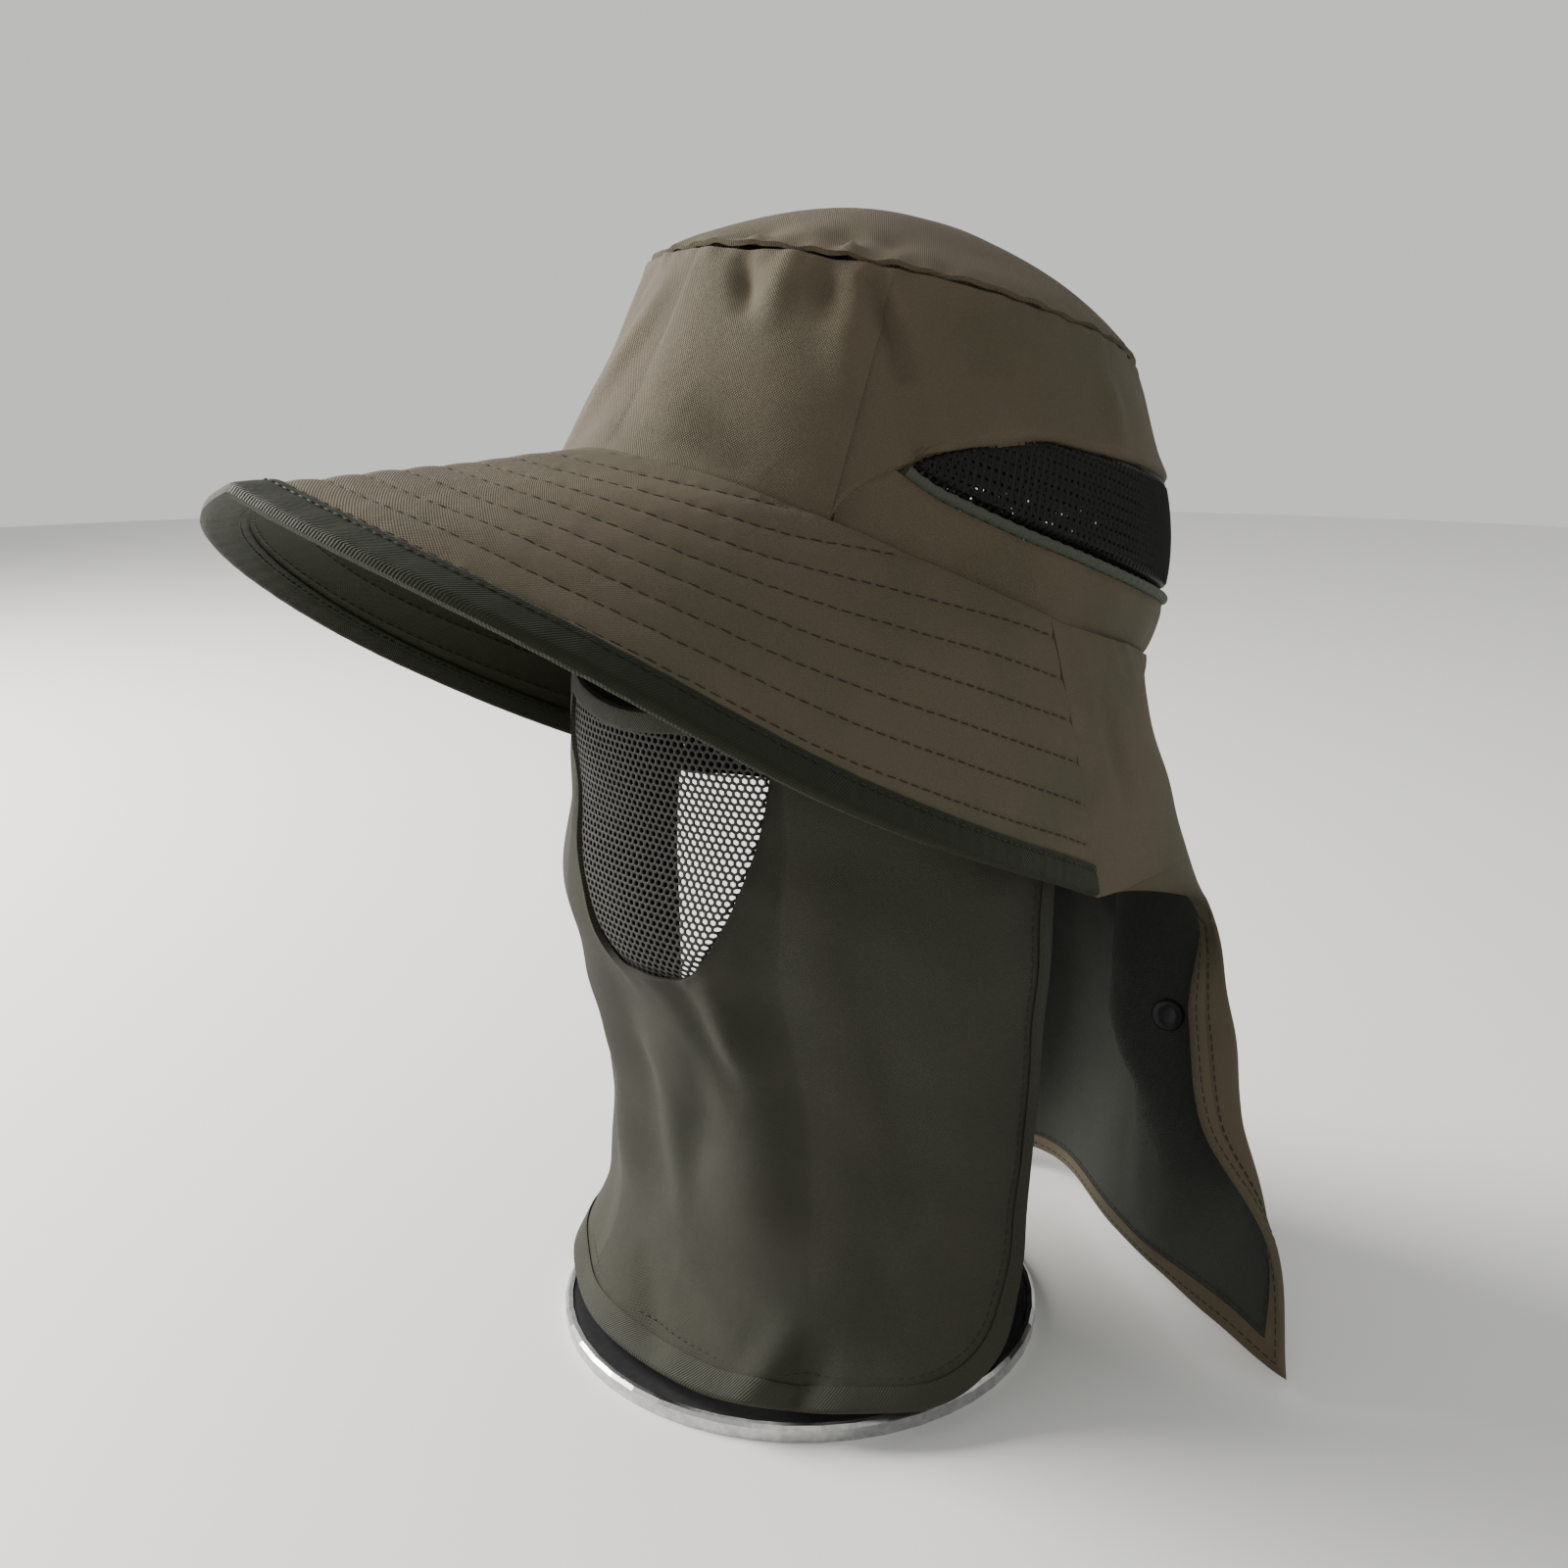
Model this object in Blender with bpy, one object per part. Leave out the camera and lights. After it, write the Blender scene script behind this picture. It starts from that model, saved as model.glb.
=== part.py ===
"""Sun hat with a neck flap and a face cover, on a plain round-based hat stand.

Metres, +Z up. The origin is the centre of the stand's underside; the hat's front faces -Y
and the wearer's left is +X. Cloth is a wall of even thickness on a surface that is a function
of two parameters: an angle or a station along the seam, and a share of the way up or down.
"""
import math

import bmesh
import bpy
import numpy as np

# Stand
BASE_DIAMETER = 0.153       # round plate
BASE_HEIGHT = 0.005
RIM_WIDTH = 0.0024          # bright ring round the plate
RIM_EDGE = 0.001            # bevel on its upper edge
PAD_STEP = 0.0006           # how far the dark top lies below the bright rim
POST_DIAMETER = 0.010
POST_HEAD_DIAMETER = 0.036  # rounded pad that carries the crown
POST_HEAD_DEPTH = 0.016
POST_FOOT_DIAMETER = 0.016  # where the post stands on the plate
POST_SHOULDER = 0.004       # height over which the foot narrows to the shaft
POST_NECK = 0.012           # the shaft starts to widen this far below the pad
PAD_CLEAR = 0.0008          # between the pad and the crown's inside

# Head ring, the seam where crown, brim and neck flap meet
RING_LENGTH = 0.200         # front to back
RING_WIDTH = 0.157          # side to side
RING_TILT = math.radians(21.4)   # the front is higher than the back
RING_HEIGHT = 0.239         # of its centre over the floor
RING_BACK = 0.024           # its centre lies this far behind the post
RING_DIP = 0.0068           # the ring sinks at both sides

# Crown
TIP_LENGTH = 0.148          # oval top panel, front to back
TIP_WIDTH = 0.139
TIP_TILT = math.radians(15.5)
TIP_HEIGHT = 0.3075         # of the tip seam's centre over the floor
TIP_BACK = 0.036
TIP_DOME = 0.0275           # rise of the top panel over its seam
SIDE_BULGE = 0.0085         # how far the back and sides swell past a straight wall
MESH_START = math.radians(55)    # where the mesh panel's point lies, from the front
BAND_START = math.radians(46)    # where the rear band's front seam meets the ring

# Brim
BRIM_WIDTH = 0.1025         # at the front
BRIM_END_TOP = math.radians(87)  # the brim's end seam at the head ring
BRIM_END_EDGE = math.radians(107)    # the same seam at the brim's edge
BRIM_LIFT = 0.0045          # the brim's right front edge stands up by this much
BINDING_WIDTH = 0.0085

# Neck flap
FLAP_HALF_WIDTH = 0.135     # from the middle of the back to the front corner, sideways
FLAP_REACH = 0.140          # how far back the flap hangs
FLAP_HEM_HEIGHT = 0.010     # of the hem over the floor
FLAP_CORNER_DROP = 0.006    # the front corner hangs this much lower
PLEAT_DEPTH = 0.022         # deep pleat that runs down from behind the ear
HEM_WIDTH = 0.0055

# Face cover
COVER_HALF_WIDTH = 0.089    # at the hem
COVER_DEPTH = 0.086         # from the rear edge line to the front, at the hem
COVER_BACK = 0.016          # where the rear edges hang, behind the post's axis
COVER_ASIDE = 0.010         # the hanging part swings this much to the wearer's right
COVER_SPREAD = math.radians(94)  # angle from the front to a rear edge
COVER_HEM_HEIGHT = 0.0095
COVER_TOP = 0.207           # height of the top hem at the middle of the face
COVER_EAR = 0.2375          # height of the top hem at the rear corners
COVER_CORNER = 0.075        # radius over which the lower rear corners are rounded
WINDOW_FOOT = 0.127         # lowest point of the mouth window over the floor
WINDOW_HALF_WIDTH = 0.046   # at its top
WINDOW_TURN = math.radians(5.5)  # the window sits this far to the wearer's left
COVER_HEM = 0.0060          # width of the top hem and of the edge binding
NET_INSET = 0.0009          # the net stops this far inside the cloth's opening

# Walls and clearance
CLOTH = 0.0014              # crown and neck flap
BRIM_CLOTH = 0.0024         # two layers with a stiffener
COVER_CLOTH = 0.0012
NET = 0.0010
TAPE = 0.0010               # binding tape, outside the cloth
PIPING_DIAMETER = 0.0030
GAP = 0.0003                # between touching pieces
SEAM_GAP = 0.0008           # between the brim's end and the flap's edge, which meet askew

# The brim goes round the head: its width as a share of BRIM_WIDTH and its slope in degrees
BRIM_ROWS = dict(
    angle=(0, 30, 60, 90, 115),
    width=(1.000, 0.912, 0.762, 0.700, 0.715),
    slope=(24, 38, 61, 75, 78),
)
# The crown's wall in plan: how far it stands out of a straight wall, as a share of SIDE_BULGE
BULGE_ROWS = dict(
    angle=(0, 45, 90, 135, 180),
    amount=(-0.30, 0.15, 0.75, 1.20, 1.35),
)
# The mesh panel from its front point (way 0) to the middle of the back (way 1): its upper and
# lower edges as shares of the crown's wall
MESH_ROWS = dict(
    way=(0.00, 0.05, 0.10, 0.16, 0.30, 1.00),
    top=(0.275, 0.390, 0.470, 0.540, 0.595, 0.620),
    foot=(0.275, 0.235, 0.222, 0.213, 0.210, 0.205),
)
# The neck flap from its seam down: shares of FLAP_HALF_WIDTH (x) and FLAP_REACH (y) at the
# front edge, over the shoulder, at the pleat and at the middle of the back
FLAP_ROWS = dict(
    down=(0.33, 0.40, 0.58, 0.72, 0.88, 1.00),
    edge_x=(0.632, 0.593, 0.630, 0.696, 0.880, 1.000),
    edge_y=(0.286, 0.593, 0.607, 0.593, 0.640, 0.525),
    side_x=(0.562, 0.600, 0.672, 0.715, 0.775, 0.785),
    side_y=(0.650, 0.677, 0.704, 0.703, 0.693, 0.543),
    rear_x=(0.281, 0.296, 0.348, 0.400, 0.407, 0.407),
    rear_y=(0.829, 0.850, 0.843, 0.800, 0.736, 0.693),
    back_y=(0.886, 0.905, 0.940, 0.955, 0.930, 0.872),
    pleat=(0.45, 0.70, 1.00, 0.80, 0.30, 0.00),
)
# The face cover from its hem up: shares of COVER_HALF_WIDTH and COVER_DEPTH
COVER_ROWS = dict(
    up=(0.00, 0.07, 0.19, 0.29, 0.45, 0.57, 0.70, 0.89, 1.00),
    width=(1.000, 0.945, 0.925, 0.930, 0.945, 0.955, 0.935, 0.872, 0.865),
    depth=(1.000, 0.830, 0.730, 0.710, 0.820, 0.910, 0.900, 0.920, 0.780),
)
# Folds of the face cover: angle from the front in degrees, how wide, how deep in millimetres,
# and the share of the height where each is deepest, with how far up and down it runs
COVER_FOLDS = dict(
    angle=(-38, -8, 22, 52, 74),
    spread=(12, 9, 10, 9, 8),
    depth=(-2.4, -3.0, 2.2, -2.2, 1.6),
    middle=(0.22, 0.36, 0.20, 0.30, 0.45),
    reach=(0.30, 0.22, 0.30, 0.35, 0.40),
)
# The post's pad, from below: shares of its radius, and depth under the crown as a share
PAD_ROWS = dict(
    radius=(0.55, 0.90, 1.00, 0.94, 0.50, 0.12),
    below=(1.00, 0.55, 0.25, 0.00, 0.00, 0.00),
)
# Dents of the top panel: angle from the front in degrees, share of the radius, width in
# millimetres and depth in millimetres
TIP_DENTS = dict(
    angle=(12, 33, 52),
    radius=(0.90, 0.87, 0.85),
    width=(9, 9, 8),
    depth=(3.0, 4.0, 3.2),
)


def curve(x, knots, values):
    """A smooth curve through the table's values: cubic pieces with averaged slopes."""
    knots, values = np.asarray(knots, float), np.asarray(values, float)
    x = np.clip(np.asarray(x, float), knots[0], knots[-1])
    step = np.diff(knots)
    slope = np.diff(values) / step
    tangent = np.empty_like(values)
    tangent[0], tangent[-1] = slope[0], slope[-1]
    tangent[1:-1] = (slope[:-1] * step[1:] + slope[1:] * step[:-1]) / (step[1:] + step[:-1])
    i = np.clip(np.searchsorted(knots, x, side="right") - 1, 0, len(step) - 1)
    t, h = (x - knots[i]) / step[i], step[i]
    return ((2 * t**3 - 3 * t**2 + 1) * values[i] + (t**3 - 2 * t**2 + t) * h * tangent[i]
            + (3 * t**2 - 2 * t**3) * values[i + 1] + (t**3 - t**2) * h * tangent[i + 1])


def ease(x):
    """A soft step from 0 to 1."""
    x = np.clip(x, 0.0, 1.0)
    return x * x * (3.0 - 2.0 * x)


def tilted(x, y, z, tilt, back, height):
    """Points of a plane frame that leans back, placed in the world."""
    c, s = math.cos(tilt), math.sin(tilt)
    return np.stack([x + 0 * y, back + y * c + z * s, height - y * s + z * c], axis=-1)


def from_front(angle):
    """The angle from the front, the same on both sides, from 0 to a half turn."""
    return np.abs((angle + math.pi) % (2 * math.pi) - math.pi)


def ring_outward(angle):
    """Outward direction at the head ring, in the ring's own plane."""
    n = np.stack([np.sin(angle) / RING_WIDTH, -np.cos(angle) / RING_LENGTH], axis=-1)
    return n / np.linalg.norm(n, axis=-1, keepdims=True)


def ring(angle, out=0.0, up=0.0):
    """The head ring; angle 0 is the front, and grows towards the wearer's left."""
    n = ring_outward(angle)
    x = 0.5 * RING_WIDTH * np.sin(angle) + out * n[..., 0]
    y = -0.5 * RING_LENGTH * np.cos(angle) + out * n[..., 1]
    return tilted(x, y, up - RING_DIP * np.sin(angle)**2, RING_TILT, RING_BACK, RING_HEIGHT)


def tip_ring(angle, share=1.0, up=0.0):
    """The seam round the top panel, or an oval inside it."""
    x = 0.5 * TIP_WIDTH * share * np.sin(angle)
    y = -0.5 * TIP_LENGTH * share * np.cos(angle)
    return tilted(x, y, up + 0 * x, TIP_TILT, TIP_BACK, TIP_HEIGHT)


def crown_wall(angle, share):
    """The crown's wall: straight from ring to tip seam, swollen by a bow in between."""
    foot, head = ring(angle), tip_ring(angle)
    wall = foot + (head - foot) * share[..., None]
    bow = SIDE_BULGE * curve(np.degrees(from_front(angle)), BULGE_ROWS["angle"], BULGE_ROWS["amount"])
    bow = bow * np.sin(math.pi * share**0.85)
    n = ring_outward(angle)
    return wall + np.stack([n[..., 0] * bow, n[..., 1] * bow, 0 * bow], axis=-1)


def tip_panel(angle, share):
    """The top panel: a dome over the tip seam, with a few dents along its near edge."""
    rise = TIP_DOME * (1 - share**2)
    points = tip_ring(angle, share, rise)
    flat = tip_ring(angle, share)
    for turn, radius, width, depth in zip(*TIP_DENTS.values()):
        centre = tip_ring(np.array(math.radians(turn)), radius)
        near = np.linalg.norm(flat - centre, axis=-1) / (0.001 * width)
        points[..., 2] -= 0.001 * depth * np.exp(-near**2) * (1 - share**8)
    return points


def mesh_share(angle, low):
    """The mesh panel's lower or upper edge, as a share of the crown's wall."""
    way = np.clip((from_front(angle) - MESH_START) / (math.pi - MESH_START), 0, 1)
    return curve(way, MESH_ROWS["way"], MESH_ROWS["foot" if low else "top"])


def band_share(angle):
    """The rear band's front seam: from the ring up to the mesh panel's point."""
    way = np.clip((from_front(angle) - BAND_START) / (MESH_START - BAND_START), 0, 1)
    return MESH_ROWS["foot"][0] * np.sqrt(way)


def brim(angle, share):
    """The brim: straight out from the ring at a slope that steepens towards the ears."""
    turn = np.degrees(np.abs(angle))
    width = BRIM_WIDTH * curve(turn, BRIM_ROWS["angle"], BRIM_ROWS["width"])
    slope = np.radians(curve(turn, BRIM_ROWS["angle"], BRIM_ROWS["slope"]))
    start = 0.5 * CLOTH + GAP + 0.5 * BRIM_CLOTH
    run = start + share * (width - start)
    n = ring_outward(angle)
    lift = BRIM_LIFT * np.exp(-((angle + 0.75) / 0.55)**2) * share**2
    x = 0.5 * RING_WIDTH * np.sin(angle) + n[..., 0] * run * np.cos(slope)
    y = -0.5 * RING_LENGTH * np.cos(angle) + n[..., 1] * run * np.cos(slope)
    z = -RING_DIP * np.sin(angle)**2 - run * np.sin(slope) + lift
    return tilted(x, y, z, RING_TILT, RING_BACK, RING_HEIGHT)


def brim_end(share, clear=0.0):
    """The seam where the brim ends, from the ring (0) to the edge (1), or a line beside it."""
    angle = BRIM_END_TOP + (BRIM_END_EDGE - BRIM_END_TOP) * share + clear / (0.5 * RING_LENGTH)
    return brim(angle, share)


def flap_sheet(a, down):
    """The left half of the neck flap as its table alone gives it, from back (0) to front (1)."""
    seam = ring(math.pi - a * (math.pi - BRIM_END_TOP), out=CLOTH + GAP)
    row = {k: curve(down, FLAP_ROWS["down"], v) for k, v in FLAP_ROWS.items() if k != "down"}
    x = blend4(a, (0 * down, row["rear_x"], row["side_x"], row["edge_x"])) * FLAP_HALF_WIDTH
    y = blend4(a, (row["back_y"], row["rear_y"], row["side_y"], row["edge_y"])) * FLAP_REACH
    pleat = PLEAT_DEPTH * row["pleat"] * ease(down / 0.12) * np.exp(-((a - 0.52) / 0.10)**2)
    mix = np.clip(down / FLAP_ROWS["down"][0], 0, 1)
    hem = FLAP_HEM_HEIGHT - FLAP_CORNER_DROP * ease((a - 0.75) / 0.25)
    return np.stack([seam[..., 0] * (1 - mix) + x * mix - 0.55 * pleat,
                     seam[..., 1] * (1 - mix) + y * mix - 0.83 * pleat,
                     seam[..., 2] + (hem - seam[..., 2]) * down], axis=-1)


def flap(along, down):
    """The neck flap. along runs from -1 (right front edge) over 0 (back) to 1 (left front edge).

    The seam row follows the head ring; each row below is a smooth curve through four points of
    the table, with a pleat pushed inwards. The front edge follows the brim's end seam, and
    swings free of it below the brim's edge."""
    a = np.abs(along)
    points = flap_sheet(a, down)
    first, second = FLAP_ROWS["down"][:2]
    share = np.clip(down / first, 0, 1)
    fall = np.clip((down - first) / (second - first), 0, 1)
    hold = (ease((a - 0.70) / 0.30) * (1 - fall))[..., None]
    points = points + (brim_end(share, SEAM_GAP) - flap_sheet(1 + 0 * a, down)) * hold
    points[..., 0] *= np.sign(along)
    return points


def blend4(t, p):
    """A smooth curve through four points at t = 0, 0.4, 0.75 and 1, level at t = 0."""
    knots = (0.0, 0.4, 0.75, 1.0)
    out = np.zeros_like(t)
    slopes = (0 * t + (p[1] - p[0]) / 0.4 * (np.max(np.abs(p[0])) < 1e-9),
              (p[2] - p[0]) / 0.75, (p[3] - p[1]) / 0.6, (p[3] - p[2]) / 0.25)
    for i in range(3):
        h = knots[i + 1] - knots[i]
        s = np.clip((t - knots[i]) / h, 0, 1)
        piece = ((2 * s**3 - 3 * s**2 + 1) * p[i] + (s**3 - 2 * s**2 + s) * h * slopes[i]
                 + (3 * s**2 - 2 * s**3) * p[i + 1] + (s**3 - s**2) * h * slopes[i + 1])
        out = np.where((t >= knots[i]) & (t <= knots[i + 1]), piece, out)
    return out


def cover(angle, height):
    """The face cover: half an oval in plan that narrows upwards, with folds pushed in or out."""
    up = (height - COVER_HEM_HEIGHT) / (COVER_EAR - COVER_HEM_HEIGHT)
    width = COVER_HALF_WIDTH * curve(up, COVER_ROWS["up"], COVER_ROWS["width"])
    depth = COVER_DEPTH * curve(up, COVER_ROWS["up"], COVER_ROWS["depth"])
    seat = ease((up - 0.86) / 0.12)
    inside_ring = 0.5 * (RING_WIDTH - CLOTH - COVER_CLOTH - TAPE) - 3 * GAP
    width = width + (inside_ring - width) * seat
    aside = COVER_ASIDE * ease(up / 0.3) * (1 - ease((up - 0.5) / 0.45)) * (0.5 + 0.5 * np.cos(angle))
    x = width * np.sin(angle) - aside
    y = COVER_BACK - depth * np.cos(angle)
    turn = np.degrees(angle)
    push = 0 * up
    for at, spread, deep, middle, reach in zip(*COVER_FOLDS.values()):
        push = push + 0.001 * deep * np.exp(-((turn - at) / spread)**2 - ((up - middle) / reach)**2)
    return np.stack([x + push * np.sin(angle), y - push * np.cos(angle), height], axis=-1)


def cover_top(angle):
    """Height of the top hem, lowest at the middle of the face."""
    way = np.abs(angle) / COVER_SPREAD
    return COVER_TOP + (COVER_EAR - COVER_TOP) * way**1.6


def cover_foot(angle):
    """Height of the lower edge: level, then rounded up to the rear edges."""
    run = np.clip((np.abs(angle) / COVER_SPREAD - 0.62) / 0.38, 0, 1)
    return COVER_HEM_HEIGHT + COVER_CORNER * (1 - np.sqrt(np.clip(1 - run**2.6, 0, 1)))


def window_foot(angle, inset=0.0):
    """Height of the mouth window's edge at an angle: a U that widens upwards."""
    aside = np.abs(angle - WINDOW_TURN) + inset
    way = np.clip(COVER_HALF_WIDTH * np.sin(aside) / WINDOW_HALF_WIDTH, 0, 1)
    rise = cover_top(angle) - COVER_HEM - WINDOW_FOOT
    return WINDOW_FOOT + rise * way**3.2 + inset * COVER_HALF_WIDTH


def normals(grid, loop):
    """Unit normals of a grid of points: along the first axis crossed with along the second."""
    if loop:
        du = np.roll(grid, -1, axis=0) - np.roll(grid, 1, axis=0)
    else:
        du = np.gradient(grid, axis=0)
    n = np.cross(du, np.gradient(grid, axis=1))
    return n / np.maximum(np.linalg.norm(n, axis=-1, keepdims=True), 1e-12)


def make(name, verts, faces, colour, roughness, metallic=0.0, sharp=50):
    """One closed piece from points and faces, with its own material."""
    mesh = bpy.data.meshes.new(name)
    mesh.from_pydata([tuple(p) for p in verts], [], faces)
    bm = bmesh.new()
    bm.from_mesh(mesh)
    bmesh.ops.triangulate(bm, faces=bm.faces[:])
    bmesh.ops.recalc_face_normals(bm, faces=bm.faces[:])
    bm.to_mesh(mesh)
    bm.free()
    mesh.shade_smooth()
    mesh.set_sharp_from_angle(angle=math.radians(sharp))
    piece = bpy.data.objects.new(name, mesh)
    bpy.context.collection.objects.link(piece)
    material = bpy.data.materials.new(name)
    material.use_nodes = True
    shader = material.node_tree.nodes["Principled BSDF"]
    shader.inputs["Base Color"].default_value = (*colour, 1)
    shader.inputs["Roughness"].default_value = roughness
    shader.inputs["Metallic"].default_value = metallic
    mesh.materials.append(material)
    return piece


def wall(name, grid, thickness, loop=False, **finish):
    """A closed wall with its middle on the grid: two skins joined round every open edge."""
    n, m = grid.shape[:2]
    half = 0.5 * thickness * normals(grid, loop)
    verts = np.concatenate([(grid + half).reshape(-1, 3), (grid - half).reshape(-1, 3)])
    faces = []
    cols = n if loop else n - 1

    def at(i, j, skin):
        return skin * n * m + (i % n) * m + j

    for i in range(cols):
        for j in range(m - 1):
            quad = [at(i, j, 0), at(i + 1, j, 0), at(i + 1, j + 1, 0), at(i, j + 1, 0)]
            faces.append(quad)
            faces.append([v + n * m for v in reversed(quad)])
        for j in (0, m - 1):
            faces.append([at(i, j, 0), at(i + 1, j, 0), at(i + 1, j, 1), at(i, j, 1)])
    if not loop:
        for i in (0, n - 1):
            for j in range(m - 1):
                faces.append([at(i, j, 0), at(i, j + 1, 0), at(i, j + 1, 1), at(i, j, 1)])
    return make(name, verts, faces, **finish)


def dome(name, grid, thickness, **finish):
    """A closed wall from rings of points that end in one point at the middle."""
    n, m = grid.shape[:2]
    half = 0.5 * thickness * normals(grid, True)
    half[:, -1] = half[:, -2].mean(axis=0)
    verts, faces = [], []
    for skin in (1, -1):
        rows = grid + skin * half
        base = len(verts)
        verts.extend(rows[:, :-1].reshape(-1, 3))
        verts.append(rows[:, -1].mean(axis=0))
        for i in range(n):
            k = (i + 1) % n
            for j in range(m - 2):
                faces.append([base + i * (m - 1) + j, base + k * (m - 1) + j,
                              base + k * (m - 1) + j + 1, base + i * (m - 1) + j + 1])
            faces.append([base + i * (m - 1) + m - 2, base + k * (m - 1) + m - 2,
                          base + n * (m - 1)])
    second = n * (m - 1) + 1
    for i in range(n):
        k = (i + 1) % n
        faces.append([i * (m - 1), k * (m - 1), second + k * (m - 1), second + i * (m - 1)])
    return make(name, verts, faces, **finish)


def sweep(name, sections, loop=False, **finish):
    """A closed solid from a closed section of points at each station of a path."""
    n, m = sections.shape[:2]
    verts = sections.reshape(-1, 3)
    faces = []
    for i in range(n if loop else n - 1):
        for j in range(m):
            a, b = i * m, ((i + 1) % n) * m
            faces.append([a + j, a + (j + 1) % m, b + (j + 1) % m, b + j])
    if not loop:
        faces.append(list(range(m)))
        faces.append([(n - 1) * m + j for j in reversed(range(m))])
    return make(name, verts, faces, **finish)


def tube(name, path, radius, sides, **finish):
    """A round cord along an open path."""
    along = np.gradient(path, axis=0)
    along /= np.linalg.norm(along, axis=1, keepdims=True)
    across = np.cross(along, np.array([0.0, 0.0, 1.0]))
    across /= np.linalg.norm(across, axis=1, keepdims=True)
    upward = np.cross(across, along)
    turn = np.linspace(0, 2 * math.pi, sides, endpoint=False)
    rows = [path + radius * (math.cos(t) * across + math.sin(t) * upward) for t in turn]
    return sweep(name, np.stack(rows, axis=1), **finish)


def level(turn, radius, height):
    """Points of a level circle round the post's axis."""
    return np.stack([radius * np.cos(turn), radius * np.sin(turn), 0 * turn + height], axis=-1)


def grid_of(first, second):
    """Two arrays of parameters for a grid."""
    return np.meshgrid(first, second, indexing="ij")


def between(low, high, rows):
    """Shares between two edge curves, a row for each step from one to the other."""
    step = np.linspace(0, 1, rows)
    return low[:, None] * (1 - step) + high[:, None] * step


# Finishes
TAUPE = dict(colour=(0.115, 0.098, 0.070), roughness=0.75)
DARK_GREEN = dict(colour=(0.018, 0.022, 0.012), roughness=0.70)
SHADE_OLIVE = dict(colour=(0.075, 0.075, 0.060), roughness=0.80)
BLACK_NET = dict(colour=(0.012, 0.012, 0.012), roughness=0.60)
GREY_GREEN = dict(colour=(0.085, 0.095, 0.070), roughness=0.60)
BLACK_PLATE = dict(colour=(0.030, 0.030, 0.032), roughness=0.45)
CHROME = dict(colour=(0.80, 0.80, 0.80), roughness=0.15, metallic=1.0)


def crown_columns():
    """Angles round the crown, closer together where the panels' seams start; half a turn."""
    spans = ((0.0, BAND_START, 8), (BAND_START, BAND_START + 0.011, 2),
             (BAND_START + 0.011, MESH_START, 4), (MESH_START, MESH_START + 0.35, 6),
             (MESH_START + 0.35, math.pi, 13))
    return np.unique(np.concatenate([np.linspace(*span) for span in spans]).round(9))


def as_share(angle, length):
    """A length up the crown's wall as a share of the wall at that angle."""
    return length / np.linalg.norm(tip_ring(angle) - ring(angle), axis=-1)


def build_crown():
    """Front and upper crown, the net at the back, the band under it and its piping."""
    half = crown_columns()
    around = np.concatenate([half, 2 * math.pi - half[-2:0:-1]])
    turn = from_front(around)
    foot = np.where(turn < BAND_START, 0.0,
                    np.where(turn < MESH_START, band_share(around), mesh_share(around, False)))
    share = between(foot, 1 - as_share(around, 2 * GAP), 6)
    wall("crown_side", crown_wall(around[:, None] + 0 * share, share), CLOTH, loop=True, **TAUPE)

    a, s = grid_of(np.linspace(-math.pi, math.pi, 44, endpoint=False),
                   np.array([1.0, 0.93, 0.80, 0.60, 0.35, 0.0]))
    tip = tip_panel(a, s)
    tip[..., 2] += 0.6 * CLOTH
    dome("crown_tip", tip, CLOTH, **TAUPE)

    seat = 0.5 * PIPING_DIAMETER + GAP
    back = around[turn > MESH_START + 0.05]
    low = mesh_share(back, True) + as_share(back, seat)
    high = mesh_share(back, False) - as_share(back, 2 * GAP)
    share = between(low, high, 4)
    wall("crown_mesh", crown_wall(back[:, None] + 0 * share, share), NET, **BLACK_NET)

    back = around[turn > BAND_START + 0.010]
    seam = np.where(from_front(back) < MESH_START - 0.001, band_share(back),
                    mesh_share(back, True))
    share = between(0 * back, seam - as_share(back, np.where(
        from_front(back) < MESH_START - 0.001, 3 * GAP, seat)), 3)
    wall("rear_band", crown_wall(back[:, None] + 0 * share, share), CLOTH, **TAUPE)

    back = around[turn > MESH_START + 0.02]
    tube("band_piping", crown_wall(back, mesh_share(back, True)), 0.5 * PIPING_DIAMETER, 6,
         **GREY_GREEN)


def band_inside(step, width, whole):
    """Share at which a band of a given width, with its gap, leaves off from an edge at 1."""
    return 1 - (width + step * GAP) / whole


def build_brim():
    """The stitched brim, and the tape folded over its edge as a thicker band."""
    around = np.linspace(-1, 1, 49)

    def grid(shares):
        a, s = grid_of(around, shares)
        a = a * (BRIM_END_TOP + (BRIM_END_EDGE - BRIM_END_TOP) * s)
        return brim(a, s)

    width = BRIM_WIDTH * np.min(BRIM_ROWS["width"])
    wall("brim", grid(np.linspace(0, band_inside(1, BINDING_WIDTH, width), 5)), BRIM_CLOTH,
         **TAUPE)
    wall("brim_binding", grid(np.linspace(band_inside(0, BINDING_WIDTH, width), 1, 3)),
         BRIM_CLOTH + 2 * TAPE, **DARK_GREEN)


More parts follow.
